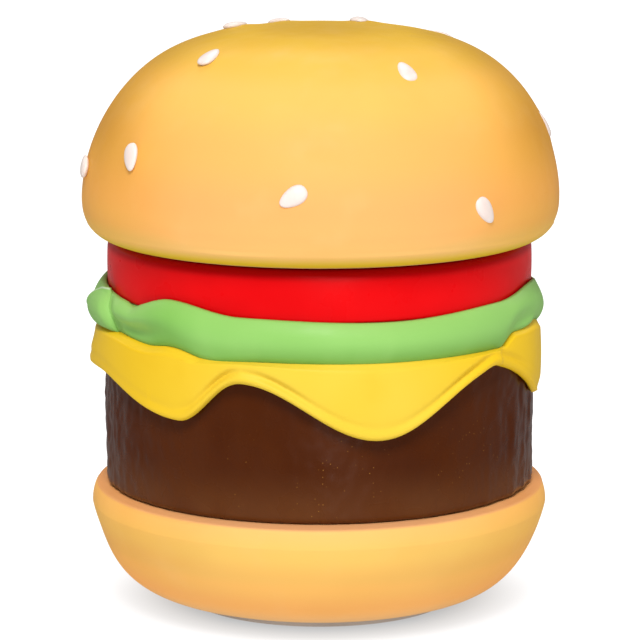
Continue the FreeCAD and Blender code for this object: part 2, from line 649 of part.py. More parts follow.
def key_places():
    """Node name to (x, y, cap width, cap depth)."""
    places = {}
    for y, names in zip(KEY_ROWS_Y, KEY_NAMES):
        for column, name in enumerate(names):
            places["key_" + name] = ((column - 1) * KEY_PITCH_X, y, KEY_W, KEY_D)
    for column, name in enumerate(FUNCTION_NAMES):
        places["key_" + name] = ((column - 1) * KEY_PITCH_X, FUNCTION_Y, FUNCTION_W, FUNCTION_D)
    return places


def keypad_deck():
    top = DECK_Z + DECK_T
    plate = rod(DECK_R, 0, 0, DECK_Z, top)
    plate = plate.makeFillet(0.6, [e for e in plate.Edges if abs(e.BoundBox.ZMin - top) < 1e-6])
    parts = [plate]
    parts += [rod(3.5, x, y, 84.05, DECK_Z + 1) for x, y in DECK_SCREWS]
    parts += [rod(2.8, x, y, BOARD_Z + BOARD_T + GAP, DECK_Z + 1) for x, y in KEYBOARD_SCREWS]
    tools = []
    for x, y, w, d in key_places().values():
        tools.append(rounded_plate(x, y, w + 2 * KEY_CLEAR, d + 2 * KEY_CLEAR, DECK_Z - 1, top + 1, 2.0))
    tools.append(rod(3.2, 0, PLUNGER_Y, DECK_Z - 1, top + 1))
    tools += [rod(0.6, x, y + MIC_Y, DECK_Z - 1, top + 1) for x, y in [(0.0, 0.0)] + spread(6, 2.2)]
    tools += [rod(PILOT_R, x, y, 84, DECK_Z + 0.8) for x, y in DECK_SCREWS]
    tools += [rod(PILOT_R, x, y, 84, DECK_Z + 0.8) for x, y in KEYBOARD_SCREWS]
    return drilled(fused(parts), tools)


def key_cap(x, y, width, depth):
    cap = rounded_plate(x, y, width, depth, KEY_LOW_Z, KEY_TOP_Z, 1.8)
    cap = cap.makeFillet(0.7, [e for e in cap.Edges if abs(e.BoundBox.ZMin - KEY_TOP_Z) < 1e-6])
    wide, deep = width + 2 * KEY_FLANGE, depth + 2 * KEY_FLANGE
    flange = rounded_plate(x, y, wide, deep, KEY_LOW_Z, DECK_Z - GAP, 2.4)
    return fused([cap, flange])


def keypad_mat():
    """One silicone sheet with a dome under each key."""
    low = BOARD_Z + BOARD_T + GAP
    sheet_top = low + 1.0
    parts = [rounded_plate(0, -3.0, 54.0, 63.0, low, sheet_top, 3.0)]
    foot_z = sheet_top - 0.2
    for x, y, _, depth in key_places().values():
        wide = min(4.4, depth / 2 + 0.6)
        parts.append(Part.makeCone(wide, wide - 1.4, KEY_LOW_Z - GAP - foot_z, vec(x, y, foot_z)))
    return fused(parts)


def keypad_board():
    top = BOARD_Z + BOARD_T
    parts = [rounded_plate(0, -3.2, 55.0, 63.2, BOARD_Z, top, 6.0),
             block(-33.3, 33.3, -10.5, 10.5, BOARD_Z, top)]
    return drilled(fused(parts), [rod(HOLE_R, x, y, BOARD_Z - 1, top + 1) for x, y in KEYBOARD_SCREWS])


def deck_screws():
    screws = [screw(x, y, 82.0 - GAP, 7.0) for x, y in DECK_SCREWS]
    for x in (-BRACKET_SCREW_X, BRACKET_SCREW_X):
        screws.append(screw(x, BRACKET_SCREW_Y, 87.6 + GAP, 6.5, up=False))
    return Part.makeCompound(screws)


def board_screws():
    screws = [screw(x, y, BOARD_Z - GAP, 6.0) for x, y in KEYBOARD_SCREWS]
    screws += [screw(x, y, MAIN_Z + BOARD_T + GAP, 7.0, up=False) for x, y in MAIN_SCREWS]
    return Part.makeCompound(screws)


def base_screws():
    screws = [screw(x, y, 2.5, 5.6) for x, y in spread(4, COVER_SCREW_R, 45)]
    screws += [screw(x, y, BASE_TOP_Z - WALL - GAP, 8.0) for x, y in FLOOR_SCREWS]
    screws.append(screw(0, 0, BALLAST_SEAT_Z + GAP, 7.0, up=False))
    return Part.makeCompound(screws)


def main_board():
    top = MAIN_Z + BOARD_T
    board = rounded_plate(0, -4.0, 56.0, 50.0, MAIN_Z, top, 3.0)
    return board.cut([rod(HOLE_R, x, y, MAIN_Z - 1, top + 1) for x, y in MAIN_SCREWS])


def board_components():
    """Line transformer, dialler chip, hook relay and capacitors."""
    low = MAIN_Z + BOARD_T + 0.02
    core = block(-20, -6, -24, -9, low, low + 13)
    winding = block(-18, -8, -27, -24, low + 2, low + 11)
    transformer = fused([core, winding])
    chip = block(2, 21, -18, -11, low, low + 3.6)
    relay = block(6, 21, -4, 6, low, low + 9)
    caps = [rod(3.6, x, y, low, low + 10) for x, y in ((10.0, 13.0), (1.0, -24.0), (2.0, -4.0))]
    return Part.makeCompound([transformer, chip, relay] + caps)


def ringer_buzzer():
    low = MAIN_Z + BOARD_T + 0.02
    can = rod(11.0, -13.0, 5.0, low, low + 6.0)
    can = can.makeFillet(0.8, [e for e in can.Edges if abs(e.BoundBox.ZMin - low - 6.0) < 1e-6])
    return can.cut(rod(1.6, -13.0, 5.0, low + 4.5, low + 7))


def ribbon_cable():
    """A flat ribbon from the keypad board's front edge down to the main board."""
    thick = 0.8
    y = -31.0
    top = BOARD_Z - 0.02
    low = MAIN_Z + BOARD_T + 0.02
    return fused([block(8, 20, y, y + thick, low + 3, top - 3),
                  block(8, 20, y, y + 6, top - 3 - thick, top - 3),
                  block(8, 20, y + 6 - thick, y + 6, top - 3 - thick, top),
                  block(8, 20, y, y + 8, low + 3, low + 3 + thick),
                  block(8, 20, y + 8 - thick, y + 8, low, low + 3 + thick)])


def microphone():
    capsule = rod(3.0, 0, MIC_Y, 86.4, DECK_Z - GAP)
    return capsule.makeFillet(0.3, [e for e in capsule.Edges if abs(e.BoundBox.ZMax - 86.4) < 1e-6])


def mic_boot():
    return ring(3.8, 3.05, 85.6, DECK_Z - GAP).fuse(rod(3.8, 0, 0, 85.6, 86.3)).removeSplitter().translated(
        vec(0, MIC_Y, 0))


def hook_plunger():
    """The lid holds it down; it rises through the deck as the lid opens."""
    stem = rod(3.0, 0, PLUNGER_Y, 78.0, PLATE_Z - GAP)
    stem = stem.makeFillet(1.0, [e for e in stem.Edges if e.BoundBox.ZMin > 90 and
                                 e.Curve.TypeId == "Part::GeomCircle"])
    flange = rod(4.4, 0, PLUNGER_Y, 77.2, 79.2)
    tip = rod(1.5, 0, PLUNGER_Y, 71.4, 78.0)
    return fused([stem, flange, tip])


def hook_switch_body():
    body = block(-7.9, 7.9, 33.0, 41.0, 64.45, 69.9)
    button = block(-1.2, 1.2, 36.0, 38.0, 69.0, 71.3)
    return fused([body, button])


def hook_spring():
    """A light compression spring between the switch body and the plunger's flange."""
    wire = 0.35
    low, high = 69.95 + wire, 77.15 - wire
    helix = Part.makeHelix((high - low) / 5, high - low, 3.0)
    section = Part.Wire(Part.makeCircle(wire, vec(3.0, 0, 0), vec(0, 1, 0)))
    coil = Part.Wire(helix.Edges).makePipeShell([section], True, True)
    return coil.translated(vec(0, PLUNGER_Y, low))


# ---- rear panel ---------------------------------------------------------------------------
def slot_block(x, half_x, half_z, y0, y1):
    return block(x - half_x, x + half_x, y0, y1, SWITCH_Z - half_z, SWITCH_Z + half_z)


def rear_panel():
    plate = block(-PANEL_X, PANEL_X, PANEL_Y, PANEL_Y + PANEL_T, PANEL_Z0, PANEL_Z1)
    tools = [block(-JACK_X - 0.1, JACK_X + 0.1, PANEL_Y - 1, PANEL_Y + 3, JACK_Z0 - 0.1, JACK_Z1 + 0.1)]
    tools += [slot_block(x, 3.9, 1.8, PANEL_Y - 1, PANEL_Y + 3) for x in (-SWITCH_X, SWITCH_X)]
    return plate.cut(tools)


def line_jack():
    """A modular line socket with the latch's keyway under it."""
    front = PANEL_Y + PANEL_T
    body = block(-JACK_X, JACK_X, 33.5, front, JACK_Z0, JACK_Z1)
    socket = block(-SOCKET_X, SOCKET_X, front - SOCKET_DEPTH, front + 1, SOCKET_Z0, SOCKET_Z1)
    keyway = block(-1.7, 1.7, front - SOCKET_DEPTH, front + 1, SOCKET_Z0 - 1.4, SOCKET_Z0 + 0.1)
    return body.cut([socket, keyway])


def slide_switch_bodies():
    back = PANEL_Y - GAP
    bodies = []
    for x in (-SWITCH_X, SWITCH_X):
        body = block(x - 6.2, x + 6.2, 41.5, back, SWITCH_Z - 2.4, SWITCH_Z + 2.4)
        bodies.append(body.cut(slot_block(x, 5.2, 1.8, back - 2.4, back + 1)))
    return Part.makeCompound(bodies)


def switch_knob(x):
    """A slide knob at the left end of its travel, with three grip ribs."""
    rest_x = x - SWITCH_TRAVEL / 2
    slider = slot_block(rest_x, 3.0, 1.7, PANEL_Y - 2.3, PANEL_Y - 0.15)
    grip = slot_block(rest_x, 1.7, 1.7, PANEL_Y - 1, PANEL_Y + PANEL_T + 1.6)
    ribs = [slot_block(rest_x + dx, 0.2, 2.0, PANEL_Y + PANEL_T + 1.2, PANEL_Y + PANEL_T + 2)
            for dx in (-0.8, 0.0, 0.8)]
    return fused([slider, grip]).cut(ribs)


# ---- base ---------------------------------------------------------------------------------
def base_cover():
    low, high = 1.2, 3.7
    disc = rod(34.2, 0, 0, low, high)
    boss = rod(4.0, 0, 0, high - 0.5, BALLAST_BOSS_Z)
    places = spread(4, COVER_SCREW_R, 45)
    tools = [rod(HOLE_R, x, y, low - 1, high + 1) for x, y in places]
    tools += [rod(SCREW_HEAD_R + 0.2, x, y, low - 1, low + 1.3) for x, y in places]
    tools.append(rod(PILOT_R, 0, 0, high, BALLAST_BOSS_Z + 1))
    return drilled(fused([disc, boss]), tools)


def foot_pad():
    """A non-slip disc with a moulded grip groove near its rim."""
    return rod(29.0, 0, 0, 0, 1.2).cut(ring(26.6, 25.4, -1, 0.5))


def ballast_weight():
    disc = rod(27.5, 0, 0, 3.8, 15.8)
    disc = disc.makeChamfer(1.0, [e for e in disc.Edges if e.BoundBox.ZMin > 15])
    return disc.cut([rod(4.2, 0, 0, 3, BALLAST_BOSS_Z + GAP), rod(HOLE_R, 0, 0, 3, 17),
                     rod(SCREW_HEAD_R + 0.2, 0, 0, BALLAST_SEAT_Z, 17)])


def build():
    nodes = {
        "top_bun_shell": top_bun_shell(),
        "sesame_seeds": sesame_seeds(),
        "lid_face_plate": lid_face_plate(),
        "lid_screws": lid_screws(),
        "lid_bumpers": lid_bumpers(),
        "lid_lead": lid_lead(),
        "speaker_gasket": speaker_gasket(),
        "speaker_frame": speaker_frame(),
        "speaker_diaphragm": speaker_diaphragm(),
        "speaker_magnet": speaker_magnet(),
        "speaker_retainer": speaker_retainer(),
        "hinge_bracket": hinge_bracket(),
        "hinge_pin": hinge_pin(),
        "hinge_bush": hinge_bush(),
        "hinge_washers": hinge_washers(),
        "body_lead": body_lead(),
        "tomato_slice": tomato_slice(),
        "lettuce_leaf": lettuce_leaf(),
        "cheese_slice": cheese_slice(),
        "patty_shell": patty_shell(),
        "bottom_bun_shell": bottom_bun_shell(),
        "chassis": chassis(),
        "keypad_deck": keypad_deck(),
        "keypad_mat": keypad_mat(),
        "keypad_board": keypad_board(),
        "deck_screws": deck_screws(),
        "board_screws": board_screws(),
        "base_screws": base_screws(),
        "main_board": main_board(),
        "board_components": board_components(),
        "ringer_buzzer": ringer_buzzer(),
        "ribbon_cable": ribbon_cable(),
        "microphone": microphone(),
        "mic_boot": mic_boot(),
        "hook_plunger": hook_plunger(),
        "hook_switch_body": hook_switch_body(),
        "hook_spring": hook_spring(),
        "rear_panel": rear_panel(),
        "line_jack": line_jack(),
        "slide_switch_bodies": slide_switch_bodies(),
        "ringer_switch_knob": switch_knob(-SWITCH_X),
        "tone_switch_knob": switch_knob(SWITCH_X),
        "base_cover": base_cover(),
        "foot_pad": foot_pad(),
        "ballast_weight": ballast_weight(),
    }
    for name, (x, y, width, depth) in key_places().items():
        nodes[name] = key_cap(x, y, width, depth)
    return nodes


os.makedirs("parts", exist_ok=True)
for node, shape in build().items():
    print(node, "solids", len(shape.Solids), "valid", shape.isValid(), "volume", round(shape.Volume, 1))
    shape.exportStep("parts/" + node + ".step")
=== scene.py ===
import json
import math

import bmesh
import bpy
import numpy as np
from mathutils import Matrix, Vector, noise


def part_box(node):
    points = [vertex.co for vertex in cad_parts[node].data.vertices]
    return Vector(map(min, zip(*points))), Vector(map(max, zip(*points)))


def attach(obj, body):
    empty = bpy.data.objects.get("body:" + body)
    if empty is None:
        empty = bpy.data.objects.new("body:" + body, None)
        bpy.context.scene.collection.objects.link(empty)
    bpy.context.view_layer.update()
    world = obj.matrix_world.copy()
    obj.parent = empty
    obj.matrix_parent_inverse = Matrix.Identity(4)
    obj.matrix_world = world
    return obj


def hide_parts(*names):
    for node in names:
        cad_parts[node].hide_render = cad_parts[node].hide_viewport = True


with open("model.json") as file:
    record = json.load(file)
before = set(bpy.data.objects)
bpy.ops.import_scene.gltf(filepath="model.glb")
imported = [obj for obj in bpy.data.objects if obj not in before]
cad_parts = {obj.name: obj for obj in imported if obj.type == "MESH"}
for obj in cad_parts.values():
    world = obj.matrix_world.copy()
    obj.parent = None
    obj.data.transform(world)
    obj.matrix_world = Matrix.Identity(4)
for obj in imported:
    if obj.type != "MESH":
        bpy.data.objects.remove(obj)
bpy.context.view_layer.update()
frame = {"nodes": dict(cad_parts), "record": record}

MM = 0.001
KEY_LEVEL = 1.6     # how much light a surface facing the key light gets

# ---- sizes, in millimetres, worked out from the frame where it holds them ------------------


def low(node):
    """The lowest corner of a CAD node, in millimetres."""
    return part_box(node)[0] / MM


def high(node):
    """The highest corner of a CAD node, in millimetres."""
    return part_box(node)[1] / MM


WALL = 2.5
BORE_R = 46.4          # the hole through the food rings, round the chassis drum
BUN_R = high("top_bun_shell").x
BUN_WAIST_Z = 103.6    # the dome's widest line
BUN_TOP_Z = high("top_bun_shell").z
BUN_LIP_Z = 93.6
BUN_TUCK = 9.0         # how far the lip curls in under the dome
DOME_N = 3.25          # exponents of the superelliptic outlines: round to square
DOME_M = 1.8
LIP_N = 2.35
BASE_R = high("bottom_bun_shell").x
BASE_TOP_Z = high("bottom_bun_shell").z
BASE_WIDE_Z = 26.3
BASE_LOW_Z = 2.4
BASE_CORE_R = 13.0
BASE_OPENING_R = 34.5
BASE_N = 5.5
BASE_M = 1.15
BASE_RIM_IN = 1.1
BASE_RIM_DOWN = 0.55
PATTY_R = high("patty_shell").x
PATTY_LOW_Z = low("patty_shell").z
PATTY_TOP_Z = high("patty_shell").z
CHEESE_R = high("cheese_slice").x
CHEESE_TOP_Z = high("cheese_slice").z
LETTUCE_LOW_Z = low("lettuce_leaf").z
TOMATO_R = high("tomato_slice").x
TOMATO_LOW_Z = low("tomato_slice").z
TOMATO_TOP_Z = high("tomato_slice").z
HINGE_Y = (low("hinge_pin").y + high("hinge_pin").y) / 2
HINGE_Z = (low("hinge_pin").z + high("hinge_pin").z) / 2
KNUCKLE_R = 3.8
EAR_X0 = 12.3
EAR_X1 = 20.0
PIN_R = 1.5
DECK_R = high("keypad_deck").x
LEAF_HOLLOW_SHADE = (-36.0, -40.0, 74.5)    # the middle of the leaf's sunken place at the front left

# (azimuth from the front towards +X in degrees, height) round the slices' edges.
CHEESE_EDGE = ((-100, 60.5), (-74, 61.8), (-38, 55.0), (-20, 65.7), (15, 52.2), (49, 66.4),
               (88, 53.8), (116, 64.5), (146, 54.5), (172, 65.0), (202, 53.5), (234, 64.8))
LETTUCE_EDGE = ((-83, 82.2), (-57, 81.0), (-42, 83.9), (-20, 81.4), (18, 80.5), (54, 81.8),
                (75, 83.6), (100, 81.5), (125, 83.8), (150, 80.6), (180, 82.8), (210, 80.8),
                (240, 83.4))
LETTUCE_HEM = ((-92, 71.6), (-66, 72.9), (-50, 72.0), (-41, 72.8), (-26, 70.4), (-14, 71.2),
               (20, 70.6), (52, 70.2), (61, 73.8), (74, 74.4), (92, 71.6), (120, 73.5),
               (150, 70.6), (182, 73.0), (215, 70.6), (245, 73.2))
# Sesame seeds: (azimuth, dome angle above the waist, turn about the seed's own normal), degrees.
SEEDS = ((-46, 63, 10), (30, 57, -5), (-52, 22, 205), (-6, 13, 122), (41, 5, 215), (85, 28, 10),
         (-79, 14, 60), (146, 82, 40), (-113, 78, 70), (122, 64, -50), (112, 12, 25),
         (132, 43, -35), (158, 24, 15), (-170, 58, 50), (-150, 11, -20), (-122, 33, 30),
         (-128, 56, -60), (178, 6, 80), (-158, 74, 15))


# ---- mesh helpers -------------------------------------------------------------------------
def lit(r, g, b):
    """The paint that shows as this 0-255 display colour in the full key light."""
    def one(v):
        v = v / 255
        return (v / 12.92 if v <= 0.04045 else ((v + 0.055) / 1.055) ** 2.4) / KEY_LEVEL
    return (one(r), one(g), one(b), 1.0)


def eased(pairs, azimuth):
    """Heights at azimuths, eased between neighbouring (azimuth, height) pairs."""
    start = pairs[0][0]
    turn = (azimuth - start) % 360 + start
    closed = list(pairs) + [(start + 360, pairs[0][1])]
    out = np.zeros_like(turn)
    for (a0, h0), (a1, h1) in zip(closed, closed[1:]):
        inside = (turn >= a0) & (turn <= a1)
        share = (1 - np.cos(np.pi * (turn[inside] - a0) / (a1 - a0))) / 2
        out[inside] = h0 + (h1 - h0) * share
    return out


def smooth(a, b, x):
    """0 at a to 1 at b, eased at both ends."""
    t = np.clip((x - a) / (b - a), 0, 1)
    return t * t * (3 - 2 * t)


def bell(centre, width, azimuth):
    """A smooth bump of height 1 round an azimuth."""
    away = (azimuth - centre + 180) % 360 - 180
    return np.exp(-(away / width) ** 2)


def new_object(name, vertices, faces):
    mesh = bpy.data.meshes.new(name)
    mesh.from_pydata([Vector(v) for v in vertices], [], faces)
    mesh.validate()
    mesh.polygons.foreach_set("use_smooth", [True] * len(mesh.polygons))
    mesh.update()
    o = bpy.data.objects.new(name, mesh)
    bpy.context.scene.collection.objects.link(o)
    return o


def outward(o):
    """Turns every face of a closed mesh outwards."""
    bm = bmesh.new()
    bm.from_mesh(o.data)
    bmesh.ops.recalc_face_normals(bm, faces=bm.faces)
    bm.to_mesh(o.data)
    bm.free()
    return o


def azimuths(count):
    return np.arange(count) * 360.0 / count


def swept_ring(name, radii, heights):
    """A closed ring from arrays of section radii and heights, one row per azimuth, in millimetres."""
    rows, points = radii.shape
    a = np.radians(azimuths(rows))[:, None]
    xyz = np.stack([radii * np.sin(a), -radii * np.cos(a), heights + 0 * a], -1) * MM
    faces = []
    for i in range(rows):
        for j in range(points):
            i2, j2 = (i + 1) % rows, (j + 1) % points
            faces.append((i * points + j, i2 * points + j, i2 * points + j2, i * points + j2))
    return outward(new_object(name, xyz.reshape(-1, 3).tolist(), faces))


def arc_points(r, z, radius, start, end, count):
    """Points of an arc in the (radius, height) plane, from start to end degrees."""
    angles = np.radians(np.linspace(start, end, count))
    return [(r + radius * math.cos(t), z + radius * math.sin(t)) for t in angles]


def run(p, q, count):
    """Evenly spaced points from p up to, but not including, q."""
    return [(p[0] + (q[0] - p[0]) * i / count, p[1] + (q[1] - p[1]) * i / count) for i in range(count)]


def section_arrays(section, rows):
    """The same section at every azimuth, as arrays of radii and heights."""
    r = np.tile([p[0] for p in section], (rows, 1)).astype(float)
    z = np.tile([p[1] for p in section], (rows, 1)).astype(float)
    return r, z


def applied(o):
    """Bakes an object's modifiers into its mesh."""
    graph = bpy.context.evaluated_depsgraph_get()
    mesh = bpy.data.meshes.new_from_object(o.evaluated_get(graph))
    o.modifiers.clear()
    o.data = mesh


def box_tool(x0, x1, y0, y1, z0, z1):
    """A block, as a cutting tool."""
    corners = [Vector((x, y, z)) * MM for x in (x0, x1) for y in (y0, y1) for z in (z0, z1)]
    faces = [(0, 1, 3, 2), (4, 6, 7, 5), (0, 4, 5, 1), (2, 3, 7, 6), (0, 2, 6, 4), (1, 5, 7, 3)]
    return outward(new_object("tool", corners, faces))


def rod_tool(radius, y, z, x0, x1):
    """A cylinder along X, as a cutting tool."""
    bpy.ops.mesh.primitive_cylinder_add(vertices=48, radius=radius * MM, depth=(x1 - x0) * MM,
                                        location=((x0 + x1) / 2 * MM, y * MM, z * MM),
                                        rotation=(0, math.pi / 2, 0))
    return bpy.context.object


def cut(o, *tools):
    """Takes closed tools out of a closed object, and deletes them."""
    for tool in tools:
        modifier = o.modifiers.new("cut", "BOOLEAN")
        modifier.operation = "DIFFERENCE"
        modifier.solver = "EXACT"
        modifier.object = tool
        bpy.context.view_layer.update()
        applied(o)
        bpy.data.objects.remove(tool)


# ---- material helpers ---------------------------------------------------------------------
class Paint:
    """A node material built step by step from its object-space position."""

    def __init__(self, name):
        self.material = bpy.data.materials.new(name)
        self.material.use_nodes = True
        self.tree = self.material.node_tree
        self.shader = self.tree.nodes["Principled BSDF"]
        self.place = self.tree.nodes.new("ShaderNodeTexCoord").outputs["Object"]

    def node(self, kind, **values):
        made = self.tree.nodes.new(kind)
        for key, value in values.items():
            if hasattr(made, key):
                setattr(made, key, value)
            else:
                made.inputs[key].default_value = value
        return made

    def link(self, source, target):
        self.tree.links.new(source, target)

    def stretched(self, scale):
        mapping = self.node("ShaderNodeMapping")
        mapping.inputs["Scale"].default_value = scale
        self.link(self.place, mapping.inputs["Vector"])
        return mapping.outputs["Vector"]

    def noise(self, scale, detail=3.0, stretch=(1, 1, 1), roughness=0.5):
        made = self.node("ShaderNodeTexNoise", Scale=scale, Detail=detail, Roughness=roughness)
        self.link(self.stretched(stretch), made.inputs["Vector"])
        return made.outputs["Fac"]

    def cells(self, scale):
        made = self.node("ShaderNodeTexVoronoi", Scale=scale)
        self.link(self.place, made.inputs["Vector"])
        return made

    def axes(self):
        """The X, Y and Z of a point, as node outputs."""
        split = self.node("ShaderNodeSeparateXYZ")
        self.link(self.place, split.inputs[0])
        return split.outputs

    def height(self):
        return self.axes()["Z"]

    def remap(self, source, low_in, high_in, low_out=0.0, high_out=1.0):
        made = self.node("ShaderNodeMapRange")
        made.interpolation_type = "SMOOTHSTEP"
        for key, value in (("From Min", low_in), ("From Max", high_in), ("To Min", low_out),
                           ("To Max", high_out)):
            made.inputs[key].default_value = value
        self.link(source, made.inputs["Value"])
        return made.outputs["Result"]

    def sideways(self, radius):
        """How far out to either side a point is: 0 in the middle, 1 at this radius in mm."""
        return self.math("DIVIDE", self.math("ABSOLUTE", self.axes()["X"], 0.0), radius * MM)

    def flank(self):
        """0 on the front, the back and the crown of a round piece, nearly 1 at its two sides."""
        xyz = self.axes()
        across = self.math("MULTIPLY", xyz["X"], xyz["X"])
        along = self.math("MULTIPLY", xyz["Y"], xyz["Y"])
        crown = (18 * MM) ** 2
        return self.math("DIVIDE", across, self.math("ADD", self.math("ADD", across, along), crown))

    def mix(self, share, a, b, blend="MIX"):
        """Colour a to colour b by share; each is a colour or another node's output."""
        made = self.node("ShaderNodeMix", data_type="RGBA", blend_type=blend)
        for socket, value in ((made.inputs[0], share), (made.inputs[6], a), (made.inputs[7], b)):
            if isinstance(value, bpy.types.NodeSocket):
                self.link(value, socket)
            else:
                socket.default_value = value
        return made.outputs[2]

    def math(self, operation, a, b):
        made = self.node("ShaderNodeMath", operation=operation)
        for socket, value in zip(made.inputs, (a, b)):
            if isinstance(value, bpy.types.NodeSocket):
                self.link(value, socket)
            else:
                socket.default_value = value
        return made.outputs[0]

    def colour(self, value):
        if isinstance(value, bpy.types.NodeSocket):
            self.link(value, self.shader.inputs["Base Color"])
        else:
            self.shader.inputs["Base Color"].default_value = value

    def rough(self, value):
        if isinstance(value, bpy.types.NodeSocket):
            self.link(value, self.shader.inputs["Roughness"])
        else:
            self.shader.inputs["Roughness"].default_value = value

    def bump(self, source, distance_mm, strength=1.0, below=None):
        made = self.node("ShaderNodeBump", Strength=strength, Distance=distance_mm * MM)
        self.link(source, made.inputs["Height"])
        if below is not None:
            self.link(below, made.inputs["Normal"])
        self.link(made.outputs["Normal"], self.shader.inputs["Normal"])
        return made.outputs["Normal"]

    def set(self, **values):
        for key, value in values.items():
            self.shader.inputs[key.replace("_", " ")].default_value = value


def dress(o, material):
    o.data.materials.clear()
    o.data.materials.append(material)


def finish_piece(o, material, body, slot_name, *nodes):
    """Paints a piece, hangs it on its body and hides the CAD nodes it stands for."""
    dress(o, material)
    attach(o, body)
    if nodes:
        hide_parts(*nodes)


# ---- crust --------------------------------------------------------------------------------
def crust_material(name, stops, painted_side_shade, shade_above_z=None):
    """Bread crust: (height in mm, colour) stops from low to high, partly the crust's own airbrushed tone
    and partly painted shade and light, and painted shade at the two sides.

    Above shade_above_z, in mm, the two sides are painted darker still: painted shade on the dome's upper
    flanks.
    """
    p = Paint(name)
    z = p.height()
    tone = stops[0][1]
    for (z0, _), (z1, colour) in zip(stops, stops[1:]):
        tone = p.mix(p.remap(z, z0 * MM, z1 * MM), tone, colour)
    baked = p.mix(p.remap(p.noise(34.0, 3.0), 0.45, 0.75, 0.0, 0.14), tone, lit(250, 176, 72))
    pale = p.mix(p.remap(p.noise(85.0, 2.0), 0.55, 0.8, 0.0, 0.10), baked, lit(285, 232, 160))
    # Painted shade: the colour is deepened towards the two sides.
    side_shaded = p.mix(p.remap(p.sideways(BUN_R), 0.45, 0.95), pale, painted_side_shade, "MULTIPLY")
    if shade_above_z is not None:
        # Painted shade: the upper flanks of the dome are darkened further.
        upper_flank_shade = p.math("MULTIPLY", p.remap(p.flank(), 0.42, 0.92),
                       p.remap(z, shade_above_z * MM, (shade_above_z + 18) * MM))
        side_shaded = p.mix(upper_flank_shade, side_shaded, (0.72, 0.67, 0.35, 1), "MULTIPLY")
    p.colour(side_shaded)
    p.rough(p.remap(p.noise(160.0, 2.0), 0.3, 0.7, 0.46, 0.58))
    soft = p.bump(p.noise(60.0, 3.0), 0.25, 0.5)
    p.bump(p.noise(900.0, 2.0), 0.05, 0.5, soft)
    p.set(Specular_IOR_Level=0.12, Coat_Weight=0.0)
    return p.material


def bulge(core, radius, wide_z, end_z, n, m, t):
    """Superelliptic quarter outline: t is 0 at the widest line and 90 at the end."""
    a = np.radians(t)
    return (core + (radius - core) * np.abs(np.cos(a)) ** (2 / n),
            wide_z + (end_z - wide_z) * np.abs(np.sin(a)) ** (2 / m))


def bun_outline(shrink, lip_steps, dome_steps):
    """Radii and heights from under the lip, round the waist and up to the crown."""
    inner = BUN_R - BUN_TUCK
    t = np.linspace(90, 0, lip_steps, endpoint=False)
    lip = bulge(inner, BUN_R - shrink, BUN_WAIST_Z, BUN_LIP_Z + shrink, LIP_N, LIP_N, t)
    t = np.linspace(0, 90, dome_steps, endpoint=False)
    dome = bulge(0, BUN_R - shrink, BUN_WAIST_Z, BUN_TOP_Z - shrink, DOME_N, DOME_M, t)
    return np.concatenate([lip[0], dome[0]]), np.concatenate([lip[1], dome[1]])


def seed_frames():
    """Spot, normal and long axis of each seed on the dome."""
    frames = []
    for azimuth, t, spin in SEEDS:
        r, z = bulge(0, BUN_R, BUN_WAIST_Z, BUN_TOP_Z, DOME_N, DOME_M, t)
        r_up, z_up = bulge(0, BUN_R, BUN_WAIST_Z, BUN_TOP_Z, DOME_N, DOME_M, t + 1)
        a = math.radians(azimuth)
        out = Vector((math.sin(a), -math.cos(a), 0))
        slope = (out * float(r_up - r) + Vector((0, 0, float(z_up - z)))).normalized()
        around = Vector((0, 0, 1)).cross(out)
        normal = around.cross(slope).normalized()
        long_way = Matrix.Rotation(math.radians(spin), 3, normal) @ slope
        frames.append((out * float(r) + Vector((0, 0, float(z))), normal, long_way))
    return frames


def turned(radii, heights, rows):
    """Points of an outline turned about the vertical axis, one azimuth after another."""
    return [Vector((r * math.sin(angle), -r * math.cos(angle), z))
            for angle in np.radians(azimuths(rows)) for r, z in zip(radii, heights)]


def shape_dome(vertices):
    """Mounds round the seeds, gentle waves, a slight lean to one side, and room for the hinge."""
    spots = [spot for spot, _, _ in seed_frames()]
    mound, spread, sink = 0.55, 4.2, 0.2
    wave = 0.22
    lean, squeeze, shift = 1.0, 0.996, 0.25
    groove_r = KNUCKLE_R + 0.4
    for v in vertices:
        if v.z > BUN_WAIST_Z - 6:
            rise = sum(mound * math.exp(-((v - s).length / spread) ** 2) for s in spots) - sink
            rise += wave * noise.noise(v * 0.045)
            v += (v - Vector((0, 0, BUN_WAIST_Z - 8))).normalized() * rise
            v.x += lean * max(0, v.z - BUN_WAIST_Z) / (BUN_TOP_Z - BUN_WAIST_Z)
        v.x = v.x * squeeze + shift
        off = Vector((0, v.y - HINGE_Y, v.z - HINGE_Z))
        if abs(v.x) < EAR_X0 and off.length < groove_r:
            v += off.normalized() * (groove_r - off.length)


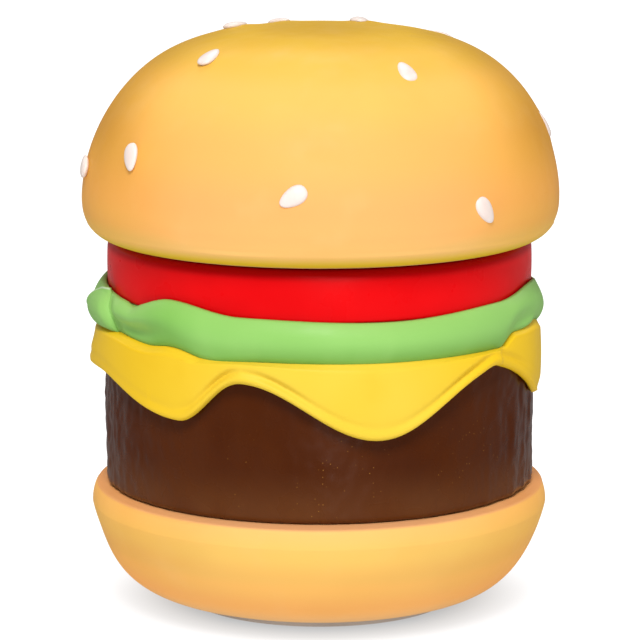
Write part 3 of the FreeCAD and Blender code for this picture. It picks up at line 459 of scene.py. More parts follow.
def top_bun():
    """The dome: an outer skin and an inner one, joined under the lip."""
    rows = 300
    radii, heights = bun_outline(0, 26, 84)
    r_in, z_in = bun_outline(WALL, 10, 30)
    outer = turned(radii, heights, rows)
    shape_dome(outer)
    outer_count = len(outer)
    vertices = outer + turned(r_in, z_in, rows)
    n, m = len(radii), len(r_in)
    vertices.append(Vector((0, 0, BUN_TOP_Z)))
    vertices.append(Vector((0, 0, BUN_TOP_Z - WALL)))
    apex, apex_in = len(vertices) - 2, len(vertices) - 1
    faces = []
    for i in range(rows):
        k = (i + 1) % rows
        for j in range(n - 1):
            faces.append((i * n + j, k * n + j, k * n + j + 1, i * n + j + 1))
        faces.append((i * n + n - 1, k * n + n - 1, apex))
        for j in range(m - 1):
            p, q = outer_count + i * m + j, outer_count + k * m + j
            faces.append((q, p, p + 1, q + 1))
        faces.append((outer_count + k * m + m - 1, outer_count + i * m + m - 1, apex_in))
        faces.append((k * n, i * n, outer_count + i * m, outer_count + k * m))
    o = outward(new_object("bun_crust_dome", [v * MM for v in vertices], faces))
    # Height stops: the crust's own airbrushed tone, but the darker olive-gold crown above 141 mm is partly
    # that tone and partly painted shade.
    crust = crust_material("crust_top", (
        (94.0, lit(258, 200, 120)), (94.4, lit(247, 213, 41)), (97.5, lit(278, 217, 126)),
        (102.0, lit(279, 204, 119)), (108.0, lit(280, 200, 117)), (121.0, lit(281, 206, 111)),
        (134.0, lit(284, 216, 108)), (141.0, lit(268, 211, 84)), (144.5, lit(255, 202, 52)),
        (146.0, lit(236, 183, 34))), (0.96, 0.95, 0.55, 1), shade_above_z=106.0)
    finish_piece(o, crust, "lid", "bun_crust", "top_bun_shell")


def hinge_ears():
    """The two moulded ears under the bun's lip that hold the hinge."""
    crust = crust_material("crust_ears", ((88.0, lit(262, 186, 104)), (98.0, lit(278, 206, 120))),
                           (1, 1, 1, 1))
    heel_r, heel_half = 4.8, 20
    bush_hole_r = 2.45
    outline = arc_points(0, 0, KNUCKLE_R, -150, -heel_half, 16)
    outline += arc_points(0, 0, heel_r, -heel_half, heel_half, 8)
    outline += [(3.4, 1.9), (2.2, 4.6), (0.2, 6.6), (-3.2, 6.6), (-5.6, 4.6), (-6.0, 2.7), (-3.7, 2.4)]
    outline += arc_points(0, 0, KNUCKLE_R, 165, 205, 6)
    for name, x0, x1 in (("hinge_ear_right", EAR_X0, EAR_X1), ("hinge_ear_left", -EAR_X1, -EAR_X0)):
        count = len(outline)
        points = [Vector((x, HINGE_Y + y, HINGE_Z + z)) * MM for x in (x0, x1) for y, z in outline]
        faces = [tuple(range(count)), tuple(range(2 * count - 1, count - 1, -1))]
        faces += [(i, (i + 1) % count, (i + 1) % count + count, i + count) for i in range(count)]
        ear = outward(new_object(name, points, faces))
        hole = PIN_R + 0.05 if x0 > 0 else bush_hole_r
        cut(ear, rod_tool(hole, HINGE_Y, HINGE_Z, x0 - 1, x1 + 1))
        bevel = ear.modifiers.new("soft edges", "BEVEL")
        bevel.width = 0.35 * MM
        bevel.segments = 2
        bevel.limit_method = "ANGLE"
        bevel.angle_limit = math.radians(40)
        applied(ear)
        ear.data.polygons.foreach_set("use_smooth", [False] * len(ear.data.polygons))
        finish_piece(ear, crust, "lid", "bun_crust")


def bowl(shrink, t):
    """Points of the bottom bun's bowl, shrunk by so many millimetres."""
    outline = bulge(BASE_CORE_R, BASE_R - shrink, BASE_WIDE_Z, BASE_LOW_Z + shrink, BASE_N, BASE_M, t)
    return np.stack(outline, -1).tolist()


def bottom_bun():
    """The bowl, with its rounded rim, the shelf under the patty and a slight swell at the left."""
    rows = 300
    rest_r = 32.0          # how far in the shelf under the patty reaches
    opening = (BASE_OPENING_R - BASE_CORE_R) / (BASE_R - BASE_CORE_R)
    t_end = math.degrees(math.acos(opening ** (BASE_N / 2)))
    outer = bowl(0, np.linspace(0, t_end, 46))
    inner = bowl(WALL, np.linspace(66, 0, 14))
    rim_r, rim_z = BASE_R - BASE_RIM_IN, BASE_TOP_Z - BASE_RIM_DOWN
    rise = rim_z - BASE_WIDE_Z
    round_r = (BASE_RIM_IN ** 2 + rise ** 2) / (2 * BASE_RIM_IN)
    reach = math.degrees(math.asin(rise / round_r))
    side = arc_points(BASE_R - round_r, BASE_WIDE_Z, round_r, reach, 0, 14)[1:-1]
    section = run((rest_r, BASE_TOP_Z), (PATTY_R + 0.2, BASE_TOP_Z), 6)
    section += run((PATTY_R + 0.2, BASE_TOP_Z), (rim_r - 0.25, rim_z + 0.06), 5)
    section += [(rim_r - 0.06, rim_z)] + side + outer
    section += [(BASE_OPENING_R, inner[0][1])] + inner
    section += [(BASE_R - WALL - 1, BASE_TOP_Z - WALL), (rest_r, BASE_TOP_Z - WALL)]
    r, z = section_arrays(section, rows)
    a = np.radians(azimuths(rows))[:, None]
    body = (z > BASE_LOW_Z + 2) & (z < BASE_TOP_Z - 1) & (r > 40)
    r = r + np.where(body, 0.12 * np.sin(3 * a + 0.6) + 0.08 * np.sin(5 * a + 2.0), 0)
    swell = np.where(np.sin(a) < 0, 0.9, 0.1) * np.abs(np.sin(a))
    r = r + np.where(body, swell * smooth(22.0, 8.0, z), 0)
    o = swept_ring("bun_crust_base", r, z)
    # Height stops: the crust's own tone, with the lowest stops made lighter as painted light where the
    # floor glow under the bowl is dimmed.
    crust = crust_material("crust_base", (
        (2.5, lit(278, 219, 147)), (9.5, lit(290, 208, 112)), (15.0, lit(288, 216, 113)),
        (18.5, lit(280, 216, 112)), (24.0, lit(282, 226, 116)), (30.4, lit(282, 219, 124)),
        (31.1, lit(262, 189, 128))), (1.08, 0.97, 0.76, 1))
    finish_piece(o, crust, "phone_body", "bun_crust", "bottom_bun_shell")


def sesame_seeds():
    """Egg-shaped seeds, pointed at one end, pressed a little into the crust."""
    length, width, height = 3.6, 2.25, 0.95
    sunk = 0.12
    rings, around = 18, 20
    vertices, faces = [], []
    for spot, normal, long_way in seed_frames():
        wide_way = normal.cross(long_way)
        base = len(vertices)
        for i in range(1, rings):
            s = math.pi * i / rings
            along = math.cos(s)
            girth = math.sin(s) ** 0.85 * (1 - 0.24 * along - 0.06 * along * along)
            for j in range(around):
                u = 2 * math.pi * j / around
                p = long_way * along * length + wide_way * girth * math.cos(u) * width
                p += normal * (girth * math.sin(u) * height + sunk)
                vertices.append((spot + p) * MM)
        tip = (spot + long_way * length + normal * sunk) * MM
        tail = (spot - long_way * length + normal * sunk) * MM
        vertices += [tip, tail]
        for i in range(rings - 2):
            for j in range(around):
                k = (j + 1) % around
                faces.append((base + i * around + j, base + i * around + k,
                              base + (i + 1) * around + k, base + (i + 1) * around + j))
        end = base + (rings - 1) * around
        last = base + (rings - 2) * around
        for j in range(around):
            k = (j + 1) % around
            faces.append((end, base + k, base + j))
            faces.append((end + 1, last + j, last + k))
    o = outward(new_object("sesame_seed_set", vertices, faces))
    p = Paint("seed_paint")
    p.colour(p.mix(p.noise(420.0, 2.0, (1, 1, 0.5)), lit(274, 262, 254), lit(270, 244, 232)))
    p.rough(p.remap(p.noise(300.0), 0.3, 0.7, 0.35, 0.5))
    p.bump(p.noise(500.0, 2.0), 0.08, 0.4)
    finish_piece(o, p.material, "lid", "seed_cream", "sesame_seeds")


# ---- food layers --------------------------------------------------------------------------
def tomato():
    """The tomato ring, slightly wavy, stepped inside for the keypad deck and notched for the hinge."""
    rows = 240
    corner, low_corner = 2.3, 0.6
    low_z, top_z = TOMATO_LOW_Z, TOMATO_TOP_Z
    rebate_r, rebate_z = DECK_R + 0.3, high("keypad_deck").z - 2.05
    section = run((BORE_R, low_z), (TOMATO_R - low_corner, low_z), 4)
    section += arc_points(TOMATO_R - low_corner, low_z + low_corner, low_corner, -90, 0, 6)
    section += run((TOMATO_R, low_z + low_corner + 0.4), (TOMATO_R, top_z - corner), 8)
    section += arc_points(TOMATO_R - corner, top_z - corner, corner, 0, 90, 9)
    section += [(rebate_r, top_z), (rebate_r, rebate_z), (BORE_R, rebate_z)]
    r, z = section_arrays(section, rows)
    a = np.radians(azimuths(rows))[:, None]
    side = smooth(TOMATO_R - 2.2, TOMATO_R, r)
    crown = 1 - ((z - (low_z + top_z) / 2) / (top_z - low_z) * 2) ** 2
    r = r + side * (0.16 * np.sin(3 * a + 1) + 0.10 * np.sin(7 * a + 2.1) - 0.25 + 0.25 * crown)
    o = swept_ring("tomato_slice_skin", r, z)
    cut(o, box_tool(-EAR_X1 - 0.5, EAR_X1 + 0.5, 40, 60, rebate_z - 2.8, top_z + 1))
    p = Paint("tomato_paint")
    tone = p.mix(p.remap(p.noise(45.0, 2.0), 0.35, 0.7), lit(264, 3, 12), lit(252, 0, 8))
    skin = p.mix(p.remap(p.noise(20.0, 2.0, (1, 1, 3)), 0.5, 0.8, 0, 0.5), tone, lit(268, 8, 14))
    # Painted shadow: a darker red band at the top of the tomato, under the bun's lip.
    p.colour(p.mix(p.remap(p.height(), 90.0 * MM, 92.2 * MM), skin, lit(205, 0, 6)))
    p.rough(p.remap(p.noise(120.0), 0.3, 0.7, 0.26, 0.36))
    p.bump(p.noise(70.0, 2.0), 0.25, 0.35)
    p.set(Specular_IOR_Level=0.07, Coat_Weight=0.0)
    finish_piece(o, p.material, "phone_body", "tomato_red", "tomato_slice")


def seam(az):
    """The height where the leaf lies on the cheese."""
    return np.maximum(eased(LETTUCE_HEM, az), CHEESE_TOP_Z)


def leaf_face(az, share):
    """Radius and height on the leaf's outer face; share runs from its top edge to its hem.

    Each bell is one bulge, hollow or flare of the leaf, at its own azimuth.
    """
    top = eased(LETTUCE_EDGE, az) - 0.7 * bell(-57, 3, az)
    hem = eased(LETTUCE_HEM, az)
    belly = 2.8 + 0.3 * np.sin(4 * np.radians(az) + 0.5) + 0.7 * bell(-40, 14, az)
    belly += 0.5 * bell(-92, 14, az) - 0.3 * bell(88, 20, az) - 1.3 * bell(-70 + 6 * share, 2.4, az)
    low_belly = 0.1 * bell(-92, 20, az) + 0.35 * bell(95, 25, az)
    hollow = 2.6 * bell(-55, 11, az) + 0.9 * bell(64, 7, az)
    hollow += 0.6 * bell(150, 14, az) + 0.9 * bell(205, 12, az)
    flare = 0.1 + 1.1 * bell(68, 7, az) + 0.3 * bell(-30, 9, az)
    flare += 0.8 * bell(128, 12, az) + 0.8 * bell(232, 12, az)
    bulge_at = np.clip(share * 0.92 + 0.04, 0, 1) ** (1 + low_belly)
    body = np.abs(np.sin(np.pi * bulge_at)) ** (0.75 - 0.2 * bell(-92, 18, az))
    dent = np.exp(-((share - 0.68) / 0.25) ** 2)
    lip = smooth(0.74, 1.0, share)
    r = TOMATO_R + 0.45 + belly * body - hollow * dent + flare * lip
    return r, top + (hem - top) * share


def columns(points):
    """Radii and heights, one column for each (radius, height) pair of per-azimuth arrays."""
    return np.array([r for r, _ in points]).T, np.array([z for _, z in points]).T


def lettuce(paint):
    """A frilled leaf whose rim bulges over the cheese and lifts against the tomato."""
    rows = 480
    az = azimuths(rows)
    share, turn = np.meshgrid(np.linspace(0, 1, 24), az)
    face_r, face_z = leaf_face(turn, share)
    top, hem = face_z[:, 0], face_z[:, -1]
    end_r = face_r[:, -1]
    bed = seam(az) + 0.05
    ones = np.ones(rows)
    under = TOMATO_LOW_Z - 0.05
    tuck = [(end_r - 0.2, hem - 0.22), (end_r - 0.6, hem - 0.3),
            (end_r - 1.1, np.minimum(hem - 0.1, bed)),
            (np.minimum(end_r - 1.7, CHEESE_R + 0.1), np.minimum(hem + 0.3, bed)),
            (np.minimum(end_r - 2.0, CHEESE_R - 0.6), bed), (ones * 51.5, bed),
            (ones * 50.8, ones * LETTUCE_LOW_Z), (ones * BORE_R, ones * LETTUCE_LOW_Z),
            (ones * BORE_R, ones * under), (ones * 51.0, ones * under),
            (ones * (TOMATO_R - 0.2), ones * under),
            (ones * (TOMATO_R + 0.06), np.maximum(top - 0.6, TOMATO_LOW_Z - 0.3)),
            (ones * (TOMATO_R + 0.07), top - 0.15), (ones * (TOMATO_R + 0.15), top + 0.02)]
    tuck_r, tuck_z = columns(tuck)
    r = np.concatenate([face_r, tuck_r], 1)
    z = np.concatenate([face_z, tuck_z], 1)
    o = swept_ring("lettuce_leaf_frill", r, z)
    finish_piece(o, paint, "phone_body", "lettuce_green", "lettuce_leaf")


def leaf_material():
    """Pale green, darker towards the hem, with painted shade in the sunken place."""
    p = Paint("lettuce_paint")
    z = p.height()
    base = p.mix(p.remap(z, 70.5 * MM, 77.0 * MM), lit(145, 210, 97), lit(166, 227, 119))
    veins = p.remap(p.noise(50.0, 4.0, (1, 1, 0.35)), 0.45, 0.7, 0.0, 0.5)
    tone = p.mix(veins, base, lit(176, 236, 128))
    mottled = p.mix(p.remap(p.noise(22.0, 2.0), 0.45, 0.7, 0, 0.3), tone, lit(144, 214, 96))
    # Painted shade: the leaf is darkened round the middle of its sunken place.
    away = p.node("ShaderNodeVectorMath", operation="DISTANCE")
    p.link(p.place, away.inputs[0])
    away.inputs[1].default_value = Vector(LEAF_HOLLOW_SHADE) * MM
    p.colour(p.mix(p.remap(away.outputs["Value"], 13 * MM, 2 * MM), mottled, (0.76, 0.86, 0.66, 1),
                   "MULTIPLY"))
    p.rough(p.remap(p.noise(180.0), 0.3, 0.7, 0.42, 0.54))
    p.bump(p.noise(80.0, 3.0, (1, 1, 0.5)), 0.25, 0.4)
    p.set(Specular_IOR_Level=0.18, Coat_Weight=0.0)
    return p.material


def curl_point(down, across, sunk):
    """A point of the folded corner; both shares run from 0 to 1, sunk is how deep under its face."""
    az = np.array(-102.0 + (30.5 + 6.0 * down) * across)
    highest = 82.8 - 8.0 * float(smooth(-73, -95, az))
    lowest = float(eased(LETTUCE_HEM, az)) - 0.25
    share = (eased(LETTUCE_EDGE, az) - highest) / (eased(LETTUCE_EDGE, az) - lowest)
    r, _ = leaf_face(az, np.clip(share + (1 - share) * down, 0, 1))
    belly = math.sin(math.pi * across) ** 0.6 * math.sin(math.pi * (0.15 + 0.85 * down)) ** 0.5
    puff = 0.75 + 0.5 * belly
    puff += 0.35 * (1 - float(smooth(0.0, 0.2, np.array(down))))
    puff *= 1 - 0.6 * float(smooth(0.93, 1.0, np.array(across)))
    r = float(r) + puff - sunk
    z = highest + (lowest - highest) * down
    a = math.radians(float(az))
    return Vector((r * math.sin(a), -r * math.cos(a), z)) * MM


def leaf_curl(paint):
    """The corner of the leaf that folds forward over itself at the left, with a painted highlight along
    its top edge.
    """
    rows, cols = 24, 30
    thick = 0.5
    layers = [curl_point(i / (rows - 1), j / (cols - 1), sunk)
              for sunk in (0, thick) for i in range(rows) for j in range(cols)]
    faces = []
    half = rows * cols
    for i in range(rows - 1):
        for j in range(cols - 1):
            p = i * cols + j
            faces.append((p, p + 1, p + cols + 1, p + cols))
            faces.append((half + p, half + p + cols, half + p + cols + 1, half + p + 1))
    border = list(range(cols)) + [i * cols + cols - 1 for i in range(1, rows)]
    border += [(rows - 1) * cols + j for j in range(cols - 2, -1, -1)]
    border += [i * cols for i in range(rows - 2, 0, -1)]
    for p, q in zip(border, border[1:] + border[:1]):
        faces.append((q, p, p + half, q + half))
    o = outward(new_object("lettuce_leaf_curl", layers, faces))
    finish_piece(o, paint, "phone_body", "lettuce_green")
    # Painted highlight: the top strip of the fold, on both faces, is paler.
    rim = Paint("leaf_edge_highlight_paint")
    rim.colour(rim.mix(rim.noise(200.0, 2.0), lit(226, 250, 208), lit(206, 244, 180)))
    rim.rough(0.45)
    o.data.materials.append(rim.material)
    for face in o.data.polygons[:2 * (cols - 1)]:
        face.material_index = 1


def cheese():
    """A soft slice that drapes over the patty, with a rolled edge below a shallow groove.

    Each bell is a place where the groove, the roll or the flare is stronger or weaker, and lift is
    the corner that folds over itself at the right.
    """
    rows = 600
    az = azimuths(rows)
    edge = eased(CHEESE_EDGE, az) + 0.7 * bell(49, 4, az)
    slope = np.gradient(eased(CHEESE_EDGE, az), 360.0 / rows)
    arch = smooth(57.0, 64.0, edge) * 0.6 + 0.4
    crest = seam(az) - 0.1
    groove = (0.35 + 0.85 * np.clip(np.abs(slope) / 0.5, 0, 1)) * arch
    groove *= 1 - 0.85 * bell(-62, 22, az)
    groove *= 1 - 0.8 * bell(70, 14, az)
    groove *= 1 - 0.6 * bell(15, 20, az)
    groove += 0.1 * bell(15, 24, az)
    flare = 0.15 + 0.45 * bell(15, 22, az) + 0.4 * bell(-20, 14, az)
    flare += 1.5 * bell(-92, 16, az) - 0.8 * bell(88, 16, az)
    out_r = CHEESE_R - 0.45
    lift = smooth(26, 46, az) * (1 - smooth(50.5, 53.5, az)) * 0.8
    lift -= smooth(50.5, 53.5, az) * (1 - smooth(53.5, 72, az)) * 1.0 + 0.8 * bell(90, 16, az)
    face_r, face_z = [], []
    for share in np.linspace(0, 1, 34):
        z = crest - 0.2 - (crest - edge - 0.9) * share
        above = z - edge
        ledge = smooth(0.0, 0.10, np.array(share))
        dent = groove * np.exp(-((above - 3.0) / 0.95) ** 2)
        reach = np.where(np.abs(az - 268) < 45, 4.5, 1.2)
        roll = flare * np.exp(-((above - 1.3) / reach) ** 2)
        sag = 0.35 * np.sin(np.pi * share)
        face_r.append(out_r - 1.5 * (1 - ledge) + sag - dent + roll + lift * ledge)
        face_z.append(z)
    face_r, face_z = np.array(face_r).T, np.array(face_z).T
    ones = np.ones(rows)
    end_r = face_r[:, -1]
    inner = PATTY_R + 0.5
    tail = [(end_r - 0.25, edge + 0.45), (end_r - 0.75, edge + 0.15), (end_r - 1.35, edge),
            (end_r - 2.0, edge + 0.1), (ones * (inner + 0.15), edge + 0.45), (ones * inner, edge + 0.9),
            (ones * inner, (edge + PATTY_TOP_Z) / 2), (ones * inner, ones * (PATTY_TOP_Z + 0.05)),
            (ones * BORE_R, ones * (PATTY_TOP_Z + 0.05)), (ones * BORE_R, ones * CHEESE_TOP_Z),
            (ones * 51.6, ones * CHEESE_TOP_Z), (ones * 52.3, crest), (ones * (out_r - 2.1), crest)]
    tail_r, tail_z = columns(tail)
    r = np.concatenate([face_r, tail_r], 1)
    z = np.concatenate([face_z, tail_z], 1)
    o = swept_ring("cheese_slice_drape", r, z)
    p = Paint("cheese_paint")
    # Painted reflection and shade: the tone carries extra blue as a pale painted reflection, kept at the
    # front and back, and is multiplied back to a deeper yellow at the two sides as painted shade.
    tone = p.mix(p.remap(p.noise(26.0, 2.0), 0.35, 0.7), lit(271, 233, 84), lit(266, 226, 68))
    mottled = p.mix(p.remap(p.noise(70.0, 2.0), 0.55, 0.8, 0, 0.3), tone, lit(260, 214, 50))
    painted_side_shade = (1.03, 0.92, 0.20, 1)
    p.colour(p.mix(p.remap(p.sideways(CHEESE_R), 0.15, 0.85), mottled, painted_side_shade, "MULTIPLY"))
    p.rough(p.remap(p.noise(150.0), 0.3, 0.7, 0.40, 0.50))
    p.bump(p.noise(60.0, 2.0), 0.2, 0.3)
    p.set(Specular_IOR_Level=0.10, Coat_Weight=0.0)
    finish_piece(o, p.material, "phone_body", "cheese_yellow", "cheese_slice")


def patty():
    """A chopped patty with soft upright lumps on its side."""
    rows = 540
    low_z, top_z = PATTY_LOW_Z, PATTY_TOP_Z
    in_r = PATTY_R - WALL
    corner = 1.6
    section = run((BORE_R, low_z), (PATTY_R - corner, low_z), 4)
    lumpy_from = len(section)
    section += arc_points(PATTY_R - corner, low_z + corner, corner, -90, 0, 6)
    section += run((PATTY_R, low_z + 2.0), (PATTY_R, top_z - 1.5), 72)
    section += [(PATTY_R - 0.1, top_z - 0.7), (PATTY_R - 0.8, top_z)]
    lumpy_to = len(section)
    section += [(BORE_R, top_z), (BORE_R, top_z - 2.3), (in_r, top_z - 2.3), (in_r, low_z + 2.4),
                (BORE_R, low_z + 2.4)]
    r, z = section_arrays(section, rows)
    az = azimuths(rows)
    for i in range(rows):
        a = math.radians(az[i])
        for j in range(lumpy_from, lumpy_to):
            spot = Vector((math.sin(a) * 12, -math.cos(a) * 12, z[i, j] * 0.07))
            small = Vector((math.sin(a) * 27, -math.cos(a) * 27, z[i, j] * 0.33))
            lump = noise.noise(spot) * 0.5 + noise.noise(small) * 0.28
            flank = 0.35 + 0.65 * abs(math.sin(a)) ** 3
            r[i, j] += lump * flank + 0.25 * (math.sin(a) < 0) * math.sin(a) ** 4
    o = swept_ring("patty_side", r, z)
    cut(o, box_tool(-17.2, 17.2, 40, 60, low("rear_panel").z - 0.2, high("rear_panel").z + 0.2))
    finish_piece(o, patty_material(), "phone_body", "patty_brown", "patty_shell")


def patty_material():
    """Dark brown, paler at the foot, with a few gold flecks low down."""
    p = Paint("patty_paint")
    z = p.height()
    shade = p.mix(p.remap(z, 32 * MM, 46 * MM), lit(112, 62, 26), lit(84, 34, 0))
    tone = p.mix(p.remap(p.noise(48.0, 4.0, (1, 1, 0.6)), 0.4, 0.7, 0, 0.5), shade, lit(98, 46, 10))
    fleck_cells = p.cells(1150.0)
    sparse = p.remap(p.noise(60.0, 2.0), 0.48, 0.62)
    lower = p.remap(z, 60 * MM, 44 * MM)
    pick = p.remap(fleck_cells.outputs["Distance"], 0.17, 0.08)
    pick = p.math("MULTIPLY", pick, p.math("MULTIPLY", sparse, lower))
    chance = p.node("ShaderNodeSeparateColor")
    p.link(fleck_cells.outputs["Color"], chance.inputs[0])
    pick = p.math("MULTIPLY", pick, p.math("GREATER_THAN", chance.outputs[0], 0.70))
    p.colour(p.mix(pick, tone, lit(194, 132, 56)))
    p.rough(p.remap(p.noise(90.0), 0.3, 0.7, 0.22, 0.34))
    soft = p.bump(p.noise(110.0, 3.0, (1, 1, 0.35)), 0.3, 0.5)
    p.bump(p.noise(600.0, 2.0), 0.05, 0.5, soft)
    p.set(Specular_IOR_Level=0.15, Coat_Weight=0.0)
    return p.material


# ---- CAD pieces that keep their shape -----------------------------------------------------
def moulded(name, colour, dark, rough, grain, coat=0.0):
    """Moulded plastic: slight mottling, a fine spark-eroded grain and uneven gloss."""
    p = Paint(name)
    p.colour(p.mix(p.remap(p.noise(60.0, 2.0), 0.3, 0.75), colour, dark))
    p.rough(p.remap(p.noise(240.0), 0.3, 0.7, rough - 0.05, rough + 0.07))
    p.bump(p.noise(1500.0, 2.0), grain, 0.6)
    p.set(Specular_IOR_Level=0.45, Coat_Weight=coat, Coat_Roughness=0.2)
    return p.material


def plated(name, colour, rough, streak=(1, 1, 8)):
    """Plated or machined metal with faint directional streaks."""
    p = Paint(name)
    p.colour(p.mix(p.noise(300.0, 3.0, streak), colour, [c * 0.8 for c in colour[:3]] + [1]))
    p.rough(p.remap(p.noise(420.0, 2.0, streak), 0.3, 0.7, rough - 0.06, rough + 0.1))
    p.bump(p.noise(800.0, 2.0, streak), 0.02, 0.5)
    p.set(Metallic=1.0)
    return p.material


def rubbery(name, colour, grain=0.05):
    """Matt rubber, silicone or foam."""
    p = Paint(name)
    p.colour(p.mix(p.noise(120.0, 3.0), colour, [min(1, c * 1.5 + 0.01) for c in colour[:3]] + [1]))
    p.rough(p.remap(p.noise(300.0), 0.3, 0.7, 0.72, 0.88))
    p.bump(p.noise(1200.0, 3.0), grain, 0.7)
    return p.material


def board_green():
    """Solder resist with the copper tracks showing through."""
    p = Paint("solder_resist")
    tracks = p.node("ShaderNodeTexBrick", Scale=160.0)
    p.link(p.place, tracks.inputs["Vector"])
    resist, copper = (0.012, 0.12, 0.04, 1), (0.03, 0.24, 0.08, 1)
    p.colour(p.mix(p.remap(tracks.outputs["Fac"], 0.2, 0.8, 0.0, 0.7), resist, copper))
    p.rough(0.35)
    p.bump(tracks.outputs["Fac"], 0.04, 0.6)
    return p.material


def slot_materials():
    """One paint for each material slot of the CAD pieces that keep their shape."""
    return {
        "bun_crust": moulded("base_cover_plastic", lit(228, 215, 203), lit(214, 200, 188), 0.55, 0.04),
        "inner_plastic": moulded("inner_plastic", lit(236, 186, 104), lit(226, 174, 92), 0.46, 0.03, 0.05),
        "key_plastic": moulded("key_caps", lit(250, 243, 226), lit(244, 234, 212), 0.30, 0.01, 0.3),
        "function_key_red": moulded("function_caps", lit(214, 34, 26), lit(196, 22, 18), 0.30, 0.01, 0.3),
        "hinge_plastic": moulded("hinge_plastic", lit(206, 140, 62), lit(192, 126, 52), 0.46, 0.03),
        "panel_dark": moulded("panel_dark", lit(58, 32, 22), lit(46, 25, 17), 0.48, 0.04),
        "jack_black": moulded("jack_black", lit(28, 27, 27), lit(20, 20, 20), 0.40, 0.02),
        "knob_cream": moulded("knob_cream", lit(240, 230, 206), lit(228, 216, 190), 0.42, 0.02),
        "chassis_grey": moulded("chassis_grey", lit(92, 92, 96), lit(78, 78, 82), 0.55, 0.04),
        "component_black": moulded("component_black", lit(38, 38, 41), lit(28, 28, 31), 0.5, 0.03),
        "cone_paper": moulded("cone_paper", lit(60, 56, 52), lit(44, 41, 38), 0.8, 0.08),
        "screw_steel": plated("screw_steel", lit(206, 206, 208), 0.32),
        "plated_steel": plated("plated_steel", lit(198, 199, 202), 0.30),
        "magnet_dark": plated("magnet_dark", lit(96, 96, 100), 0.45),
        "bush_brass": plated("bush_brass", lit(214, 176, 96), 0.28),
        "ballast_iron": plated("ballast_iron", lit(150, 150, 152), 0.42),
        "black_rubber": rubbery("black_rubber", lit(34, 34, 35)),
        "foam_grey": rubbery("foam_grey", lit(70, 70, 73), 0.15),
        "silicone_grey": rubbery("silicone_grey", lit(150, 152, 156), 0.03),
        "lead_sleeve": rubbery("lead_sleeve", lit(92, 92, 96), 0.02),
        "board_green": board_green(),
    }


def dress_cad_nodes():
    paints = slot_materials()
    slots = {s["node"]: s["material_slot"] for s in frame["record"]["subparts"]}
    for name, node in frame["nodes"].items():
        paint = paints.get(slots[name])
        if paint is None:
            continue
        for place in node.material_slots:
            place.material = paint


# ---- small visible details ----------------------------------------------------------------
KEY_SIGNS = [(digit, digit) for digit in "123456789"] + [("star", "*"), ("0", "0"), ("hash", "#")]


def key_signs():
    """Raised generic numerals on the dial keys."""
    ink = moulded("numeral_ink", lit(52, 40, 34), lit(40, 30, 26), 0.4, 0.01)
    for name, sign in KEY_SIGNS:
        node = "key_" + name
        corner_low, corner_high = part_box(node)
        text = bpy.data.curves.new("sign_" + name, "FONT")
        text.body = sign
        text.align_x = "CENTER"
        text.align_y = "CENTER"
        text.size = (8.6 if sign == "*" else 6.6) * MM
        text.extrude = 0.06 * MM
        o = bpy.data.objects.new("numeral_" + name, text)
        bpy.context.scene.collection.objects.link(o)
        bpy.context.view_layer.update()
        graph = bpy.context.evaluated_depsgraph_get()
        mesh = bpy.data.meshes.new_from_object(o.evaluated_get(graph))
        bpy.data.objects.remove(o)
        xs = [v.co.x for v in mesh.vertices]
        ys = [v.co.y for v in mesh.vertices]
        middle = Vector(((min(xs) + max(xs)) / 2, (min(ys) + max(ys)) / 2, 0))
        mesh.transform(Matrix.Translation(-middle))
        centre = (corner_low + corner_high) / 2
        mesh.transform(Matrix.Translation((centre.x, centre.y, corner_high.z + 0.02 * MM)))
        piece = bpy.data.objects.new("numeral_" + name, mesh)
        bpy.context.scene.collection.objects.link(piece)
        finish_piece(piece, ink, node + "_body", "component_black")


def jack_contacts():
    """Four sprung gold wires under the roof of the line socket."""
    gold = plated("contact_gold", lit(232, 190, 96), 0.22)
    front = high("line_jack").y
    roof = 57.5
    wires = []
    for i in range(4):
        x = (i - 1.5) * 1.02
        curve = bpy.data.curves.new("contact", "CURVE")
        curve.dimensions = "3D"
        curve.bevel_depth = 0.2 * MM
        curve.bevel_resolution = 2
        line = curve.splines.new("NURBS")
        route = [(front - 10.9, roof - 4.6), (front - 8.0, roof - 3.4), (front - 4.0, roof - 1.8),
                 (front - 2.0, roof - 0.7), (front - 1.4, roof - 0.2)]
        line.points.add(len(route) - 1)
        for point, (y, z) in zip(line.points, route):
            point.co = (x * MM, y * MM, z * MM, 1)
        line.order_u = 3
        line.use_endpoint_u = True
        o = bpy.data.objects.new("contact", curve)
        bpy.context.scene.collection.objects.link(o)
        wires.append(o)
    bpy.context.view_layer.update()
    graph = bpy.context.evaluated_depsgraph_get()
    bm = bmesh.new()
    for o in wires:
        mesh = bpy.data.meshes.new_from_object(o.evaluated_get(graph))
        bm.from_mesh(mesh)
        bpy.data.objects.remove(o)
    bmesh.ops.holes_fill(bm, edges=[e for e in bm.edges if e.is_boundary])
    joined = bpy.data.meshes.new("jack_contacts")
    bm.to_mesh(joined)
    bm.free()
    piece = bpy.data.objects.new("jack_contacts", joined)
    bpy.context.scene.collection.objects.link(piece)
    finish_piece(piece, gold, "phone_body", "bush_brass")


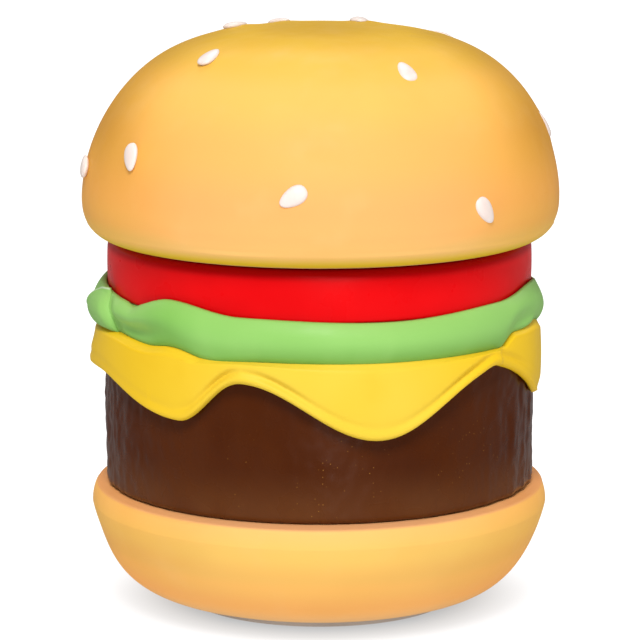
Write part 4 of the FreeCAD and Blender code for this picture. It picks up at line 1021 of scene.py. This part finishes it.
# ---- studio -------------------------------------------------------------------------------
def floor():
    """A white floor that glows in place of the light it would reflect, its glow dimmed close under the
    bowl as a painted contact shadow.
    """
    size = 9.0
    o = new_object("floor", [(-size, -size, 0), (size, -size, 0), (size, size, 0), (-size, size, 0)],
                   [(0, 1, 2, 3)])
    p = Paint("floor_white")
    p.colour((0.12, 0.12, 0.125, 1))
    p.rough(0.8)
    p.set(Specular_IOR_Level=0.0, Emission_Color=(1, 1, 1, 1))
    reach = p.node("ShaderNodeVectorMath", operation="DISTANCE")
    p.link(p.place, reach.inputs[0])
    reach.inputs[1].default_value = (0, 6 * MM, 0)
    # Painted contact shadow: the glow is dimmed close round the bowl, centred a little behind its middle.
    near = p.remap(reach.outputs["Value"], 0.022, 0.062, 0.29, 1.02)
    far = p.remap(reach.outputs["Value"], 0.06, 0.14, 0.0, 0.10)
    p.link(p.math("ADD", near, far), p.shader.inputs["Emission Strength"])
    dress(o, p.material)
    o.visible_glossy = False


def backdrop():
    """A white shell round the set: it is seen, but it lights nothing."""
    bpy.ops.mesh.primitive_uv_sphere_add(segments=64, ring_count=32, radius=8.0)
    o = bpy.context.object
    o.name = "backdrop"
    p = Paint("backdrop_white")
    p.colour((0, 0, 0, 1))
    p.set(Specular_IOR_Level=0.0, Emission_Color=(1, 1, 1, 1), Emission_Strength=1.0)
    dress(o, p.material)
    o.visible_diffuse = False
    o.visible_glossy = False
    o.visible_transmission = False
    o.visible_shadow = False


def camera():
    """A long lens, level with the front and looking down about ten degrees."""
    lens, distance, tilt = 202.5, 905.7, math.radians(10.6)
    aim = Vector((0.1, 0, 71.5))
    data = bpy.data.cameras.new("camera")
    data.lens = lens
    data.sensor_width = 36.0
    data.clip_end = 20.0
    o = bpy.data.objects.new("camera", data)
    spot = aim + Vector((0, -math.cos(tilt), math.sin(tilt))) * distance
    o.matrix_world = Matrix.Translation(spot * MM) @ Matrix.Rotation(math.pi / 2 - tilt, 4, "X")
    bpy.context.scene.collection.objects.link(o)
    bpy.context.scene.camera = o


def area_light(name, azimuth, elevation, distance, size, power):
    """A round soft light aimed at the object, placed by its azimuth from the front."""
    data = bpy.data.lights.new(name, "AREA")
    data.shape = "DISK"
    data.size = size
    data.energy = power
    o = bpy.data.objects.new(name, data)
    a, e = math.radians(azimuth), math.radians(elevation)
    target = Vector((0, 0, 0.07))
    way = Vector((math.sin(a) * math.cos(e), -math.cos(a) * math.cos(e), math.sin(e)))
    o.location = target + way * distance
    o.rotation_euler = way.to_track_quat("Z", "Y").to_euler()
    bpy.context.scene.collection.objects.link(o)


def lights():
    area_light("key", -3, 50, 1.6, 0.55, 24.0)
    area_light("fill_front", 8, 6, 1.6, 0.8, 5.0)
    area_light("fill_left", -130, 30, 1.4, 0.6, 2.0)
    area_light("fill_right", 130, 30, 1.4, 0.6, 2.0)
    area_light("back", 180, 58, 1.4, 0.6, 5.0)
    world = bpy.data.worlds.new("studio")
    world.use_nodes = True
    world.node_tree.nodes["Background"].inputs[0].default_value = (1, 1, 1, 1)
    world.node_tree.nodes["Background"].inputs[1].default_value = 0.30
    bpy.context.scene.world = world
    bpy.context.scene.view_settings.view_transform = "Standard"


camera()
lights()
floor()
backdrop()
top_bun()
hinge_ears()
bottom_bun()
sesame_seeds()
tomato()
leaf_paint = leaf_material()
lettuce(leaf_paint)
leaf_curl(leaf_paint)
cheese()
patty()
dress_cad_nodes()
key_signs()
jack_contacts()
